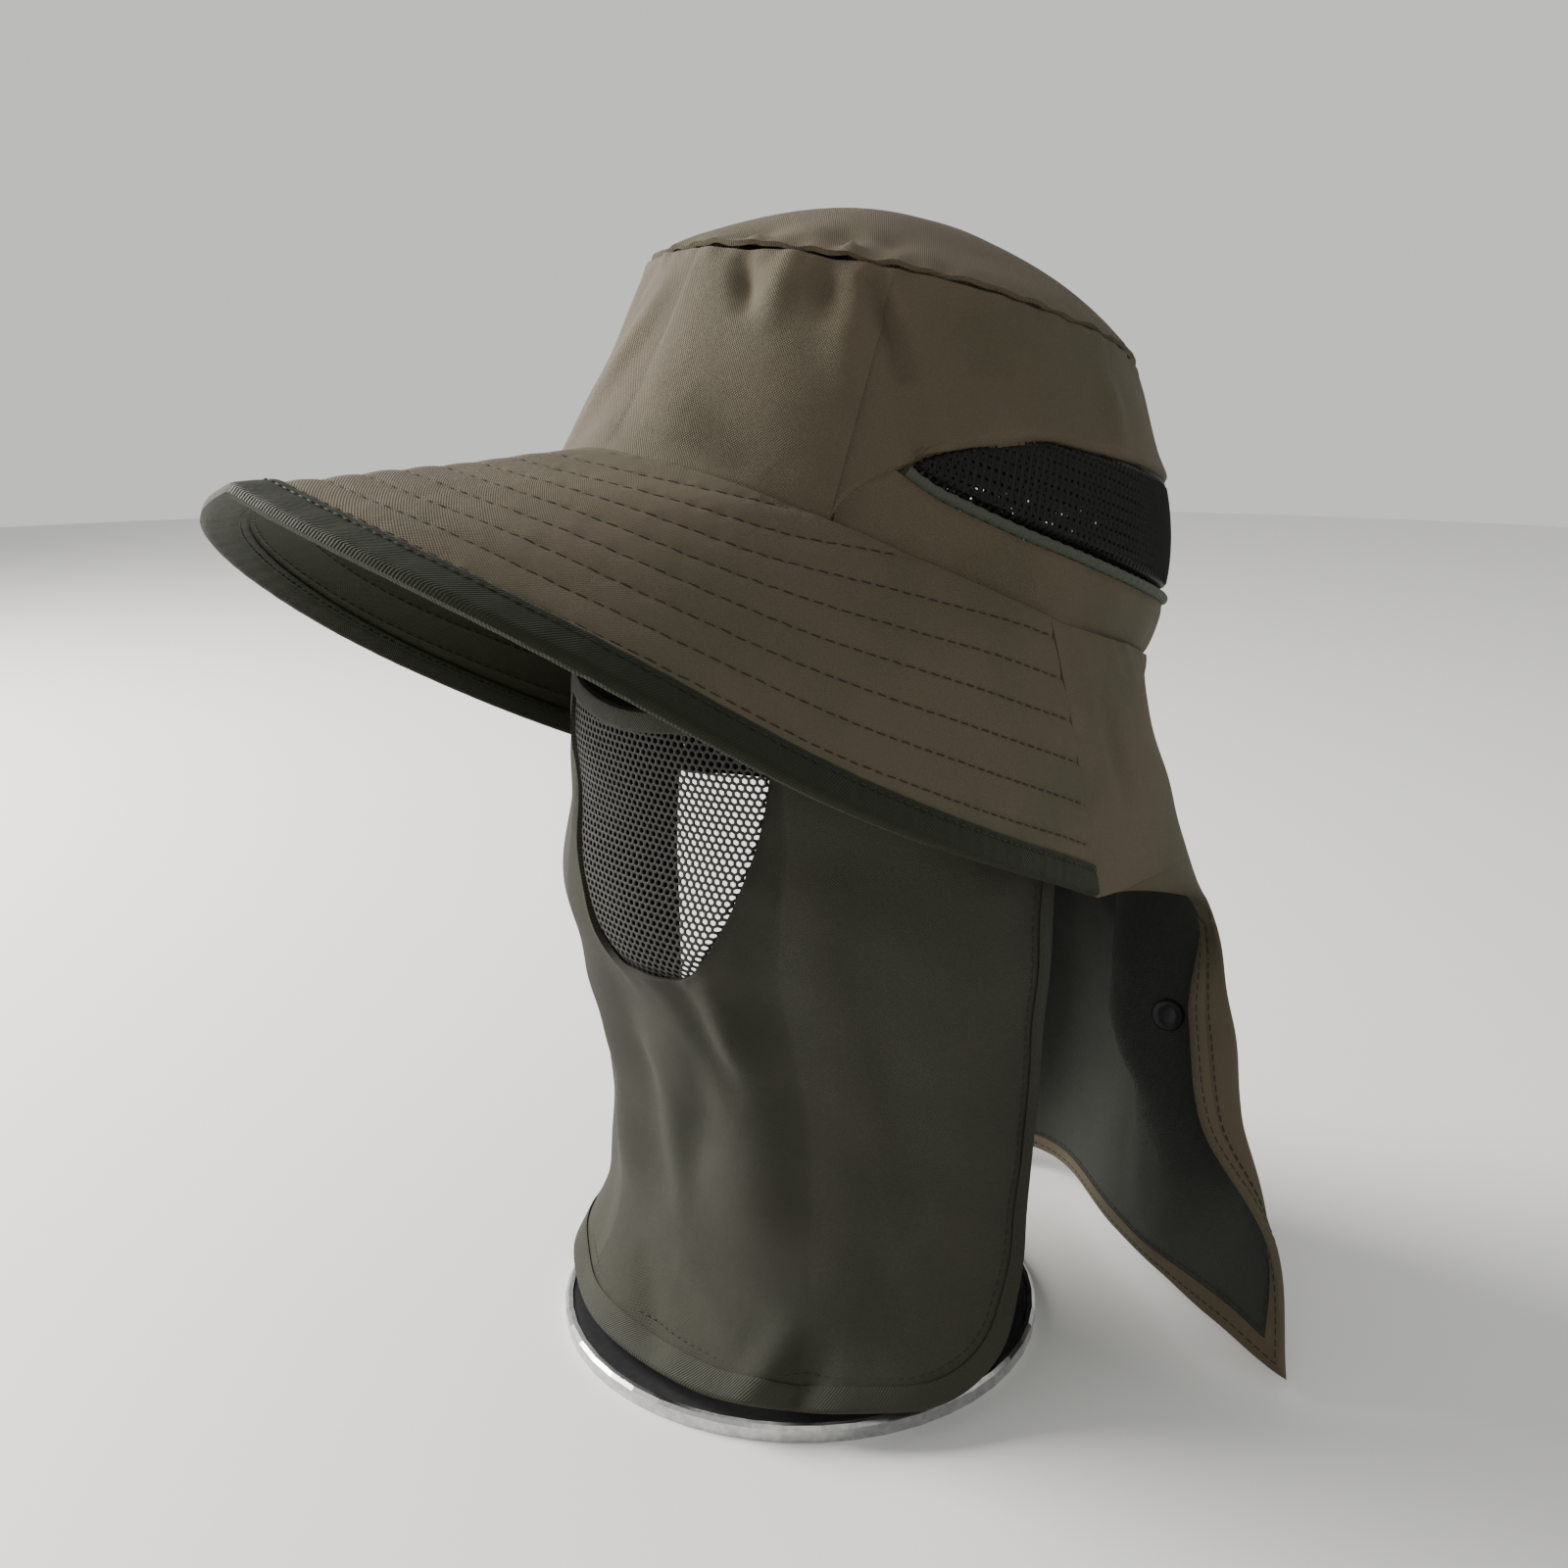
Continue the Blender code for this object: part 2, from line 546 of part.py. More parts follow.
def build_flap():
    """The neck flap, and the tape round its free edges as a thicker band."""
    upper = np.array([0.0, 0.11, 0.22, 0.33, 0.365, 0.40])
    lower = np.array([0.48, 0.57, 0.65, 0.73, 0.81, 0.89, 0.94])
    fall = RING_HEIGHT - FLAP_HEM_HEIGHT
    hem, hem_gap = HEM_WIDTH / fall, 3 * GAP / fall
    side, side_gap = 1.8 * HEM_WIDTH / FLAP_HALF_WIDTH, 12 * GAP / FLAP_HALF_WIDTH
    rows = np.concatenate([upper, lower, [1 - hem - hem_gap]])
    limit = np.where(rows > upper[-1], 1 - side - side_gap, 1.0)
    columns = np.linspace(-1, 1, 37)
    a = columns[:, None] * limit
    wall("neck_flap", flap(a, rows + 0 * a), CLOTH, **SHADE_OLIVE)

    across = columns[-2:0:-1]
    down = np.ones_like(lower)
    outer_a = np.concatenate([down, [1.0], across, [-1.0], -down])
    inner_a = np.concatenate([down, [1.0], across, [-1.0], -down]) * (1 - side)
    outer_d = np.concatenate([lower, [1.0], 0 * across + 1, [1.0], lower[::-1]])
    inner_d = np.minimum(outer_d, 1 - hem)
    step = np.array([1.0, 0.5, 0.0])
    a = inner_a[:, None] + (outer_a - inner_a)[:, None] * step
    d = inner_d[:, None] + (outer_d - inner_d)[:, None] * step
    wall("flap_binding", flap(a, d), CLOTH + 2 * TAPE, **SHADE_OLIVE)


def cover_columns():
    """Shares of the cover's spread: closer together at the rear edges and over the window."""
    half = np.concatenate([np.linspace(0, 0.34, 9), np.sin(np.linspace(0.42, 1.0, 12) * math.pi / 2)])
    return np.concatenate([-half[:0:-1], half])


def cover_inset(width):
    """Angle between the cover's rear edge and a line that runs a width inside it."""
    return width / (0.93 * COVER_HALF_WIDTH)


def build_cover():
    """The face cover, its mouth window of net, its top hem and the tape round its free edge."""
    share = cover_columns()
    foot = cover_foot(share * COVER_SPREAD)
    around = share * (COVER_SPREAD - cover_inset(COVER_HEM + 2 * GAP))
    below_hem = cover_top(around) - COVER_HEM - GAP
    top = np.minimum(below_hem, window_foot(around))
    height = between(foot + COVER_HEM + 2 * GAP, top, 9)
    wall("face_cover", cover(around[:, None] + 0 * height, height), COVER_CLOTH, **SHADE_OLIVE)

    low = window_foot(around, inset=NET_INSET / COVER_HALF_WIDTH)
    open_part = low < below_hem - 4 * GAP
    window = around[open_part]
    height = between(low[open_part], below_hem[open_part], 5)
    wall("face_mesh", cover(window[:, None] + 0 * height, height), NET, **BLACK_NET)

    around = share * COVER_SPREAD
    height = between(cover_top(around) - COVER_HEM, cover_top(around), 2)
    wall("face_top_hem", cover(around[:, None] + 0 * height, height), COVER_CLOTH + TAPE,
         **GREY_GREEN)

    step = np.array([0.0, 0.5, 1.0])
    inner = COVER_SPREAD - cover_inset(COVER_HEM)
    head = cover_top(inner) - COVER_HEM - 2 * GAP
    drop = np.linspace(head, foot[-1], 7)[:-1]
    outer_a = np.concatenate([-np.ones(6), share, np.ones(6)]) * COVER_SPREAD
    outer_h = np.concatenate([drop, foot, drop[::-1]])
    inner_a = outer_a * (inner / COVER_SPREAD)
    inner_h = np.concatenate([drop, foot, drop[::-1]])
    rise = COVER_HEM * np.concatenate([np.linspace(0, 1, 7)[:-1], np.ones(len(share)),
                                       np.linspace(1, 0, 7)[1:]])
    a = outer_a[:, None] + (inner_a - outer_a)[:, None] * step
    h = outer_h[:, None] + (inner_h + np.minimum(rise, head - inner_h) - outer_h)[:, None] * step
    wall("face_binding", cover(a, h), COVER_CLOTH + TAPE, **SHADE_OLIVE)


def under_tip(x, y):
    """Height of the post's pad under the top panel, clear of the cloth and its facets."""
    c, s = math.cos(TIP_TILT), math.sin(TIP_TILT)
    rise = 0 * x
    for _ in range(8):
        v = (y - TIP_BACK - rise * s) / c
        share = np.hypot(2 * x / TIP_WIDTH, 2 * v / TIP_LENGTH)
        rise = TIP_DOME * (1 - np.minimum(share, 1)**2)
    slope = 4 * TIP_DOME * np.minimum(share, 1) / TIP_WIDTH
    return TIP_HEIGHT - v * s + rise * c - (PAD_CLEAR + 0.5 * CLOTH) * np.hypot(1, slope)


def build_stand():
    """Plain round plate with a bright rim, and the post that carries the crown."""
    radius = 0.5 * BASE_DIAMETER
    inner = radius - RIM_WIDTH
    top = BASE_HEIGHT - PAD_STEP
    turn = np.linspace(0, 2 * math.pi, 48, endpoint=False)
    sweep("stand_base", np.stack([level(turn, inner - GAP, 0), level(turn, inner - GAP, top)]),
          **BLACK_PLATE)
    profile = ((inner, 0), (radius, 0), (radius, BASE_HEIGHT - RIM_EDGE),
               (radius - RIM_EDGE, BASE_HEIGHT), (inner, BASE_HEIGHT))
    rows = [level(turn, r, h) for r, h in profile]
    sweep("stand_rim", np.stack(rows, axis=1), loop=True, **CHROME)

    turn = turn[::2]
    foot, shaft, pad = 0.5 * POST_FOOT_DIAMETER, 0.5 * POST_DIAMETER, 0.5 * POST_HEAD_DIAMETER
    neck = under_tip(np.zeros(1), np.zeros(1)) - POST_HEAD_DEPTH - POST_NECK
    rows = [level(turn, foot, top + GAP), level(turn, shaft, top + POST_SHOULDER),
            level(turn, shaft, neck)]
    for share, below in zip(*PAD_ROWS.values()):
        x, y = share * pad * np.cos(turn), share * pad * np.sin(turn)
        rows.append(np.stack([x, y, under_tip(x, y) - below * POST_HEAD_DEPTH], axis=-1))
    sweep("stand_post", np.stack(rows), **BLACK_PLATE)


for piece in list(bpy.data.objects):
    bpy.data.objects.remove(piece, do_unlink=True)

build_crown()
build_brim()
build_flap()
build_cover()
build_stand()
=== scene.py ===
import math

import bpy
import numpy as np
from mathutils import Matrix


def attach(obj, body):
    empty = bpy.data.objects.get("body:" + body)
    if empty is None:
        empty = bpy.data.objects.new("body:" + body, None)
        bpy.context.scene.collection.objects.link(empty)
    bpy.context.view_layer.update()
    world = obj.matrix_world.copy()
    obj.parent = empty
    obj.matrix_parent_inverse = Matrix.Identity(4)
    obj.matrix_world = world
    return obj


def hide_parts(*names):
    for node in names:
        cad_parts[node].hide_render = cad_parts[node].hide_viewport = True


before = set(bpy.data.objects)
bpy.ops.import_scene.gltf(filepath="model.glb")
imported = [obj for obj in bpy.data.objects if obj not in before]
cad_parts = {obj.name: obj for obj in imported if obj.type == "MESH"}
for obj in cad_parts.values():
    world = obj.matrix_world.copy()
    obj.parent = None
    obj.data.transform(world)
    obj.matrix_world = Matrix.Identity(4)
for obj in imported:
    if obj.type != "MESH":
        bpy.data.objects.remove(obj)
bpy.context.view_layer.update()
print("frame loaded")


# camera: the lens and place give the photo's view, a little above and to the wearer's left
cameraSettings = dict(place=(0.3602, -0.3257, 0.3049), pitch=74.9, turn=48.5, lens=38.25)

cameraData = bpy.data.cameras.new("photoCamera")
cameraData.lens = cameraSettings["lens"]
cameraData.sensor_width = 36
cameraData.clip_start = 0.01
camera = bpy.data.objects.new("photoCamera", cameraData)
camera.location = cameraSettings["place"]
camera.rotation_euler = (math.radians(cameraSettings["pitch"]), 0, math.radians(cameraSettings["turn"]))
bpy.context.collection.objects.link(camera)
bpy.context.scene.camera = camera


# settings of the hat's own shape, in metres and degrees, the same as in the solids
headRing = dict(length=0.200, width=0.157, tilt=21.4, height=0.239, back=0.024, dip=0.0068)
topPanel = dict(length=0.148, width=0.139, tilt=15.5, height=0.3075, back=0.036, dome=0.0275)
crownSwell = dict(angle=(0, 45, 90, 135, 180), out=(-0.0026, 0.0013, 0.0064, 0.0102, 0.0115))
netPanel = dict(
    start=55, bandStart=46,
    way=(0.00, 0.05, 0.10, 0.16, 0.30, 1.00),
    top=(0.275, 0.390, 0.470, 0.540, 0.595, 0.620),
    foot=(0.275, 0.235, 0.222, 0.213, 0.210, 0.205),
)
brimShape = dict(
    width=0.1025, endTop=87, endEdge=107, lift=0.0045, start=0.0022,
    angle=(0, 30, 60, 90, 115),
    share=(1.000, 0.912, 0.762, 0.700, 0.715),
    slope=(24, 38, 61, 75, 78),
)
flapShape = dict(
    halfWidth=0.135, reach=0.140, hem=0.010, cornerDrop=0.006, pleat=0.022,
    down=(0.33, 0.40, 0.58, 0.72, 0.88, 1.00),
    edgeX=(0.632, 0.593, 0.630, 0.696, 0.880, 1.000),
    edgeY=(0.286, 0.593, 0.607, 0.593, 0.640, 0.525),
    sideX=(0.562, 0.600, 0.672, 0.715, 0.775, 0.785),
    sideY=(0.650, 0.677, 0.704, 0.703, 0.693, 0.543),
    rearX=(0.281, 0.296, 0.348, 0.400, 0.407, 0.407),
    rearY=(0.829, 0.850, 0.843, 0.800, 0.736, 0.693),
    backY=(0.886, 0.905, 0.940, 0.955, 0.930, 0.872),
    pleatRow=(0.45, 0.70, 1.00, 0.80, 0.30, 0.00),
)
coverShape = dict(
    halfWidth=0.089, depth=0.086, back=0.016, aside=0.010, spread=94, foot=0.0095,
    top=0.207, ear=0.2375, corner=0.075, hem=0.006,
    up=(0.00, 0.07, 0.19, 0.29, 0.45, 0.57, 0.70, 0.89, 1.00),
    width=(1.000, 0.945, 0.925, 0.930, 0.945, 0.955, 0.935, 0.872, 0.865),
    deep=(1.000, 0.830, 0.730, 0.710, 0.820, 0.910, 0.900, 0.920, 0.780),
    foldAngle=(-38, -8, 22, 52, 74), foldWidth=(12, 9, 10, 9, 8),
    foldDepth=(-2.4, -3.0, 2.2, -2.2, 1.6), foldMiddle=(0.22, 0.36, 0.20, 0.30, 0.45),
    foldReach=(0.30, 0.22, 0.30, 0.35, 0.40),
)
mouthWindow = dict(foot=0.127, halfWidth=0.046, turn=5.5)


# plain maths
def throughTable(x, knots, values):
    # a smooth curve through the table: cubic pieces whose slopes are averaged at each knot
    knots, values = np.asarray(knots, float), np.asarray(values, float)
    x = np.clip(np.asarray(x, float), knots[0], knots[-1])
    step = np.diff(knots)
    slope = np.diff(values) / step
    tangent = np.concatenate([slope[:1],
                              (slope[:-1] * step[1:] + slope[1:] * step[:-1]) / (step[1:] + step[:-1]),
                              slope[-1:]])
    i = np.clip(np.searchsorted(knots, x, side="right") - 1, 0, len(step) - 1)
    t, h = (x - knots[i]) / step[i], step[i]
    return ((2 * t**3 - 3 * t**2 + 1) * values[i] + (t**3 - 2 * t**2 + t) * h * tangent[i]
            + (3 * t**2 - 2 * t**3) * values[i + 1] + (t**3 - t**2) * h * tangent[i + 1])


def softStep(x):
    x = np.clip(x, 0.0, 1.0)
    return x * x * (3.0 - 2.0 * x)


def leaning(x, y, z, tilt, back, height):
    # points of a plane that leans back by tilt, placed in the world
    c, s = math.cos(math.radians(tilt)), math.sin(math.radians(tilt))
    return np.stack([x + 0 * y, back + y * c + z * s, height - y * s + z * c], axis=-1)


def fromFront(angle):
    return np.abs((angle + math.pi) % (2 * math.pi) - math.pi)


def unwrapGrid(first, second):
    return np.meshgrid(first, second, indexing="ij")


def unit(v):
    return v / np.maximum(np.linalg.norm(v, axis=-1, keepdims=True), 1e-12)


def normalsOf(grid, loop=False):
    # along the first direction crossed with along the second
    if loop:
        du = np.roll(grid, -1, axis=0) - np.roll(grid, 1, axis=0)
    else:
        du = np.gradient(grid, axis=0)
    return unit(np.cross(du, np.gradient(grid, axis=1)))


def ripple(u, v, seed, waves, size):
    # gentle unevenness: a sum of plane waves with seeded directions and phases
    rng = np.random.default_rng(seed)
    total = np.zeros(np.broadcast(u, v).shape)
    for wave in waves:
        turn, phase = rng.uniform(0, math.pi), rng.uniform(0, 2 * math.pi, 2)
        bend = 0.6 * np.sin(2 * math.pi * (u * math.sin(turn) - v * math.cos(turn)) / (2.3 * wave) + phase[1])
        total = total + np.sin(2 * math.pi * (u * math.cos(turn) + v * math.sin(turn)) / wave + phase[0] + bend)
    return size * total / len(waves)


def creaseRelief(u, v, creases):
    # each crease runs from one point to another in the unrolled cloth, in millimetres: a ridge
    # where its height is positive and a valley where it is negative, fading at both ends
    relief = np.zeros(np.broadcast(u, v).shape)
    for u0, v0, u1, v1, wide, height in creases:
        du, dv = (u1 - u0) * 0.001, (v1 - v0) * 0.001
        length2 = max(du * du + dv * dv, 1e-9)
        t = ((u - u0 * 0.001) * du + (v - v0 * 0.001) * dv) / length2
        near = np.clip(t, 0, 1)
        away2 = (u - u0 * 0.001 - near * du)**2 + (v - v0 * 0.001 - near * dv)**2
        relief = relief + 0.001 * height * np.exp(-away2 / (0.001 * wide)**2) * (0.55 + 0.45 * np.sin(math.pi * near))
    return relief


# the hat's surfaces
def ringOutward(angle):
    return unit(np.stack([np.sin(angle) / headRing["width"], -np.cos(angle) / headRing["length"]], axis=-1))


def ringPoint(angle, out=0.0, up=0.0):
    # the seam where crown, brim and flap meet: an oval that leans back and dips at both sides
    n = ringOutward(angle)
    x = 0.5 * headRing["width"] * np.sin(angle) + out * n[..., 0]
    y = -0.5 * headRing["length"] * np.cos(angle) + out * n[..., 1]
    z = up - headRing["dip"] * np.sin(angle)**2
    return leaning(x, y, z, headRing["tilt"], headRing["back"], headRing["height"])


def topPoint(angle, share=1.0, up=0.0):
    x = 0.5 * topPanel["width"] * share * np.sin(angle)
    y = -0.5 * topPanel["length"] * share * np.cos(angle)
    return leaning(x, y, up + 0 * x, topPanel["tilt"], topPanel["back"], topPanel["height"])


def crownWall(angle, share):
    # straight from ring to top seam, swollen by a bow in between; below the ring it drops square
    # to the ring's plane, as the allowance that is turned in behind the brim
    foot, head = ringPoint(angle), topPoint(angle)
    allowance = 0.080 * np.minimum(share, 0)
    lean = math.radians(headRing["tilt"])
    share = np.maximum(share, 0)
    bow = throughTable(np.degrees(fromFront(angle)), crownSwell["angle"], crownSwell["out"])
    bow = bow * np.sin(math.pi * share**0.85)
    n = ringOutward(angle)
    drop = allowance[..., None] * np.array([0.0, math.sin(lean), math.cos(lean)])
    outwards = np.stack([n[..., 0] * bow, n[..., 1] * bow, 0 * bow], axis=-1)
    return foot + (head - foot) * share[..., None] + outwards + drop


def netEdge(angle, low):
    start = math.radians(netPanel["start"])
    way = np.clip((fromFront(angle) - start) / (math.pi - start), 0, 1)
    return throughTable(way, netPanel["way"], netPanel["foot" if low else "top"])


def bandSeam(angle):
    start, end = math.radians(netPanel["bandStart"]), math.radians(netPanel["start"])
    return netPanel["foot"][0] * np.sqrt(np.clip((fromFront(angle) - start) / (end - start), 0, 1))


def brimSurface(angle, share):
    # straight out from the ring, at a slope that steepens towards the ears
    turn = np.degrees(np.abs(angle))
    width = brimShape["width"] * throughTable(turn, brimShape["angle"], brimShape["share"])
    slope = np.radians(throughTable(turn, brimShape["angle"], brimShape["slope"]))
    run = brimShape["start"] + share * (width - brimShape["start"])
    n = ringOutward(angle)
    lift = brimShape["lift"] * np.exp(-((angle + 0.75) / 0.55)**2) * share**2
    x = 0.5 * headRing["width"] * np.sin(angle) + n[..., 0] * run * np.cos(slope)
    y = -0.5 * headRing["length"] * np.cos(angle) + n[..., 1] * run * np.cos(slope)
    z = -headRing["dip"] * np.sin(angle)**2 - run * np.sin(slope) + lift
    return leaning(x, y, z, headRing["tilt"], headRing["back"], headRing["height"])


def brimWidth(angle):
    return brimShape["width"] * throughTable(np.degrees(np.abs(angle)), brimShape["angle"], brimShape["share"])


def brimEnd(share, clear=0.0):
    top, edge = math.radians(brimShape["endTop"]), math.radians(brimShape["endEdge"])
    return brimSurface(top + (edge - top) * share + clear / (0.5 * headRing["length"]), share)


def fourPoint(t, p):
    # a smooth curve through four points at t = 0, 0.4, 0.75 and 1
    knots = (0.0, 0.4, 0.75, 1.0)
    out = np.zeros_like(t)
    slopes = (0 * t + (p[1] - p[0]) / 0.4 * (np.max(np.abs(p[0])) < 1e-9),
              (p[2] - p[0]) / 0.75, (p[3] - p[1]) / 0.6, (p[3] - p[2]) / 0.25)
    for i in range(3):
        h = knots[i + 1] - knots[i]
        s = np.clip((t - knots[i]) / h, 0, 1)
        piece = ((2 * s**3 - 3 * s**2 + 1) * p[i] + (s**3 - 2 * s**2 + s) * h * slopes[i]
                 + (3 * s**2 - 2 * s**3) * p[i + 1] + (s**3 - s**2) * h * slopes[i + 1])
        out = np.where((t >= knots[i]) & (t <= knots[i + 1]), piece, out)
    return out


def flapHalf(a, down):
    # one half of the flap as its table alone gives it, from the back (0) to the front edge (1)
    endTop = math.radians(brimShape["endTop"])
    seam = ringPoint(math.pi - a * (math.pi - endTop), out=0.0017)
    row = {k: throughTable(down, flapShape["down"], flapShape[k])
           for k in ("edgeX", "edgeY", "sideX", "sideY", "rearX", "rearY", "backY", "pleatRow")}
    x = fourPoint(a, (0 * down, row["rearX"], row["sideX"], row["edgeX"])) * flapShape["halfWidth"]
    y = fourPoint(a, (row["backY"], row["rearY"], row["sideY"], row["edgeY"])) * flapShape["reach"]
    pleat = flapShape["pleat"] * row["pleatRow"] * softStep(down / 0.12) * np.exp(-((a - 0.52) / 0.10)**2)
    mix = np.clip(down / flapShape["down"][0], 0, 1)
    hem = flapShape["hem"] - flapShape["cornerDrop"] * softStep((a - 0.75) / 0.25)
    return np.stack([seam[..., 0] * (1 - mix) + x * mix - 0.55 * pleat,
                     seam[..., 1] * (1 - mix) + y * mix - 0.83 * pleat,
                     seam[..., 2] + (hem - seam[..., 2]) * down], axis=-1)


def flapSurface(along, down):
    # from the right front edge (-1) over the back (0) to the left front edge (1); the front edge
    # follows the brim's end seam and swings free below it
    a = np.abs(along)
    first, second = flapShape["down"][:2]
    share, fall = np.clip(down / first, 0, 1), np.clip((down - first) / (second - first), 0, 1)
    hold = (softStep((a - 0.70) / 0.30) * (1 - fall))[..., None]
    points = flapHalf(a, down) + (brimEnd(share, 0.0008) - flapHalf(1 + 0 * a, down)) * hold
    points[..., 0] *= np.sign(along)
    return points


def coverSurface(angle, height):
    # half an oval in plan that narrows upwards, with folds pushed in or out
    up = (height - coverShape["foot"]) / (coverShape["ear"] - coverShape["foot"])
    width = coverShape["halfWidth"] * throughTable(up, coverShape["up"], coverShape["width"])
    depth = coverShape["depth"] * throughTable(up, coverShape["up"], coverShape["deep"])
    insideRing = 0.5 * (headRing["width"] - 0.0036) - 0.0009
    width = width + (insideRing - width) * softStep((up - 0.86) / 0.12)
    aside = coverShape["aside"] * softStep(up / 0.3) * (1 - softStep((up - 0.5) / 0.45))
    push, turn = 0 * up, np.degrees(angle)
    for at, wide, deep, middle, reach in zip(*(coverShape[k] for k in (
            "foldAngle", "foldWidth", "foldDepth", "foldMiddle", "foldReach"))):
        push = push + 0.001 * deep * np.exp(-((turn - at) / wide)**2 - ((up - middle) / reach)**2)
    x = (width + push) * np.sin(angle) - aside * (0.5 + 0.5 * np.cos(angle))
    y = coverShape["back"] - (depth + push) * np.cos(angle)
    return np.stack([x, y, height], axis=-1)


def coverTop(angle):
    way = np.abs(angle) / math.radians(coverShape["spread"])
    return coverShape["top"] + (coverShape["ear"] - coverShape["top"]) * way**1.6


def coverFoot(angle):
    run = np.clip((np.abs(angle) / math.radians(coverShape["spread"]) - 0.62) / 0.38, 0, 1)
    return coverShape["foot"] + coverShape["corner"] * (1 - np.sqrt(np.clip(1 - run**2.6, 0, 1)))


def windowEdge(angle):
    # the mouth window's lower edge: a U that widens upwards
    aside = np.abs(angle - math.radians(mouthWindow["turn"]))
    way = np.clip(coverShape["halfWidth"] * np.sin(aside) / mouthWindow["halfWidth"], 0, 1)
    rise = coverTop(angle) - coverShape["hem"] - mouthWindow["foot"]
    return mouthWindow["foot"] + rise * way**3.2


# shader maths: a wrapped socket whose operators add Math nodes
class Signal:
    def __init__(self, tree, socket):
        self.tree, self.socket = tree, socket

    def maths(self, operation, first, second=0.0):
        return addNode(self.tree, "ShaderNodeMath", dict(operation=operation), {0: first, 1: second})

    def __add__(self, other): return self.maths("ADD", self, other)
    def __radd__(self, other): return self.maths("ADD", other, self)
    def __sub__(self, other): return self.maths("SUBTRACT", self, other)
    def __rsub__(self, other): return self.maths("SUBTRACT", other, self)
    def __mul__(self, other): return self.maths("MULTIPLY", self, other)
    def __rmul__(self, other): return self.maths("MULTIPLY", other, self)
    def __truediv__(self, other): return self.maths("DIVIDE", self, other)
    def __pow__(self, other): return self.maths("POWER", self, other)
    def sine(self): return self.maths("SINE", self)
    def above(self, other): return self.maths("GREATER_THAN", self, other)

    def between(self, low, high):
        # 0 below low, 1 above high, straight in between
        settings = dict(clamp=True)
        return addNode(self.tree, "ShaderNodeMapRange", settings, {0: self, 1: low, 2: high, 3: 0.0, 4: 1.0})


def addNode(tree, kind, settings=None, inputs=None, output=0):
    node = tree.nodes.new(kind)
    for key, value in (settings or {}).items():
        if key == "stops":
            ramp = node.color_ramp
            while len(ramp.elements) < len(value):
                ramp.elements.new(0.5)
            for element, (position, colour) in zip(ramp.elements, value):
                element.position, element.color = position, colour
        else:
            setattr(node, key, value)
    for key, value in (inputs or {}).items():
        target = node.inputs[key]
        if isinstance(value, Signal):
            tree.links.new(value.socket, target)
        else:
            target.default_value = value
    return Signal(tree, node.outputs[output])


def newMaterial(name):
    material = bpy.data.materials.new(name)
    material.use_nodes = True
    shader = material.node_tree.nodes["Principled BSDF"]
    return material, material.node_tree, shader


def mixColour(tree, amount, first, second):
    node = tree.nodes.new("ShaderNodeMix")
    node.data_type = "RGBA"
    for key, value in ((0, amount), (6, first), (7, second)):
        if isinstance(value, Signal):
            tree.links.new(value.socket, node.inputs[key])
        else:
            node.inputs[key].default_value = (*value, 1) if key else value
    return Signal(tree, node.outputs[2])


def noise(tree, vector, scale, detail=2.0, output=0):
    return addNode(tree, "ShaderNodeTexNoise", None, {"Vector": vector, "Scale": scale, "Detail": detail}, output)


def clothMaterial(name, colour, patch, thread, patchAmount=0.5, pitch=0.0007, weave=0.00010,
                  crumple=0.0007, roughness=0.74):
    # plain woven cloth: fine threads along the piece's own UV map (metres), a melange of lighter
    # and darker threads, soft patches of a second tone, and a faint crumple
    material, tree, shader = newMaterial(name)
    cloth = addNode(tree, "ShaderNodeUVMap", dict(uv_map="cloth"))
    place = addNode(tree, "ShaderNodeTexCoord", None, None, 3)
    axes = tree.nodes.new("ShaderNodeSeparateXYZ")
    tree.links.new(cloth.socket, axes.inputs[0])
    u, v = Signal(tree, axes.outputs[0]), Signal(tree, axes.outputs[1])
    turn = 2 * math.pi / pitch
    over = (u * turn).sine() * (v * turn).sine()
    patches = noise(tree, place, 28.0, 3.0).between(0.42, 0.62)
    melange = noise(tree, place, 1500.0, 1.0).between(0.3, 0.7)
    base = mixColour(tree, patches * patchAmount, colour, patch)
    base = mixColour(tree, (melange * 0.22) + (over * 0.10 + 0.10), base, thread)
    tree.links.new(base.socket, shader.inputs["Base Color"])
    fold = noise(tree, place, 95.0, 3.0)
    grain = noise(tree, place, 900.0, 2.0)
    height = over * weave + fold * crumple + grain * (0.9 * weave)
    bump = addNode(tree, "ShaderNodeBump", None, {"Height": height, "Distance": 1.0, "Strength": 0.9})
    tree.links.new(bump.socket, shader.inputs["Normal"])
    rough = grain * 0.12 + (roughness - 0.06)
    tree.links.new(rough.socket, shader.inputs["Roughness"])
    shader.inputs["Sheen Weight"].default_value = 0.02
    shader.inputs["Sheen Roughness"].default_value = 0.5
    shader.inputs["Specular IOR Level"].default_value = 0.16
    return material


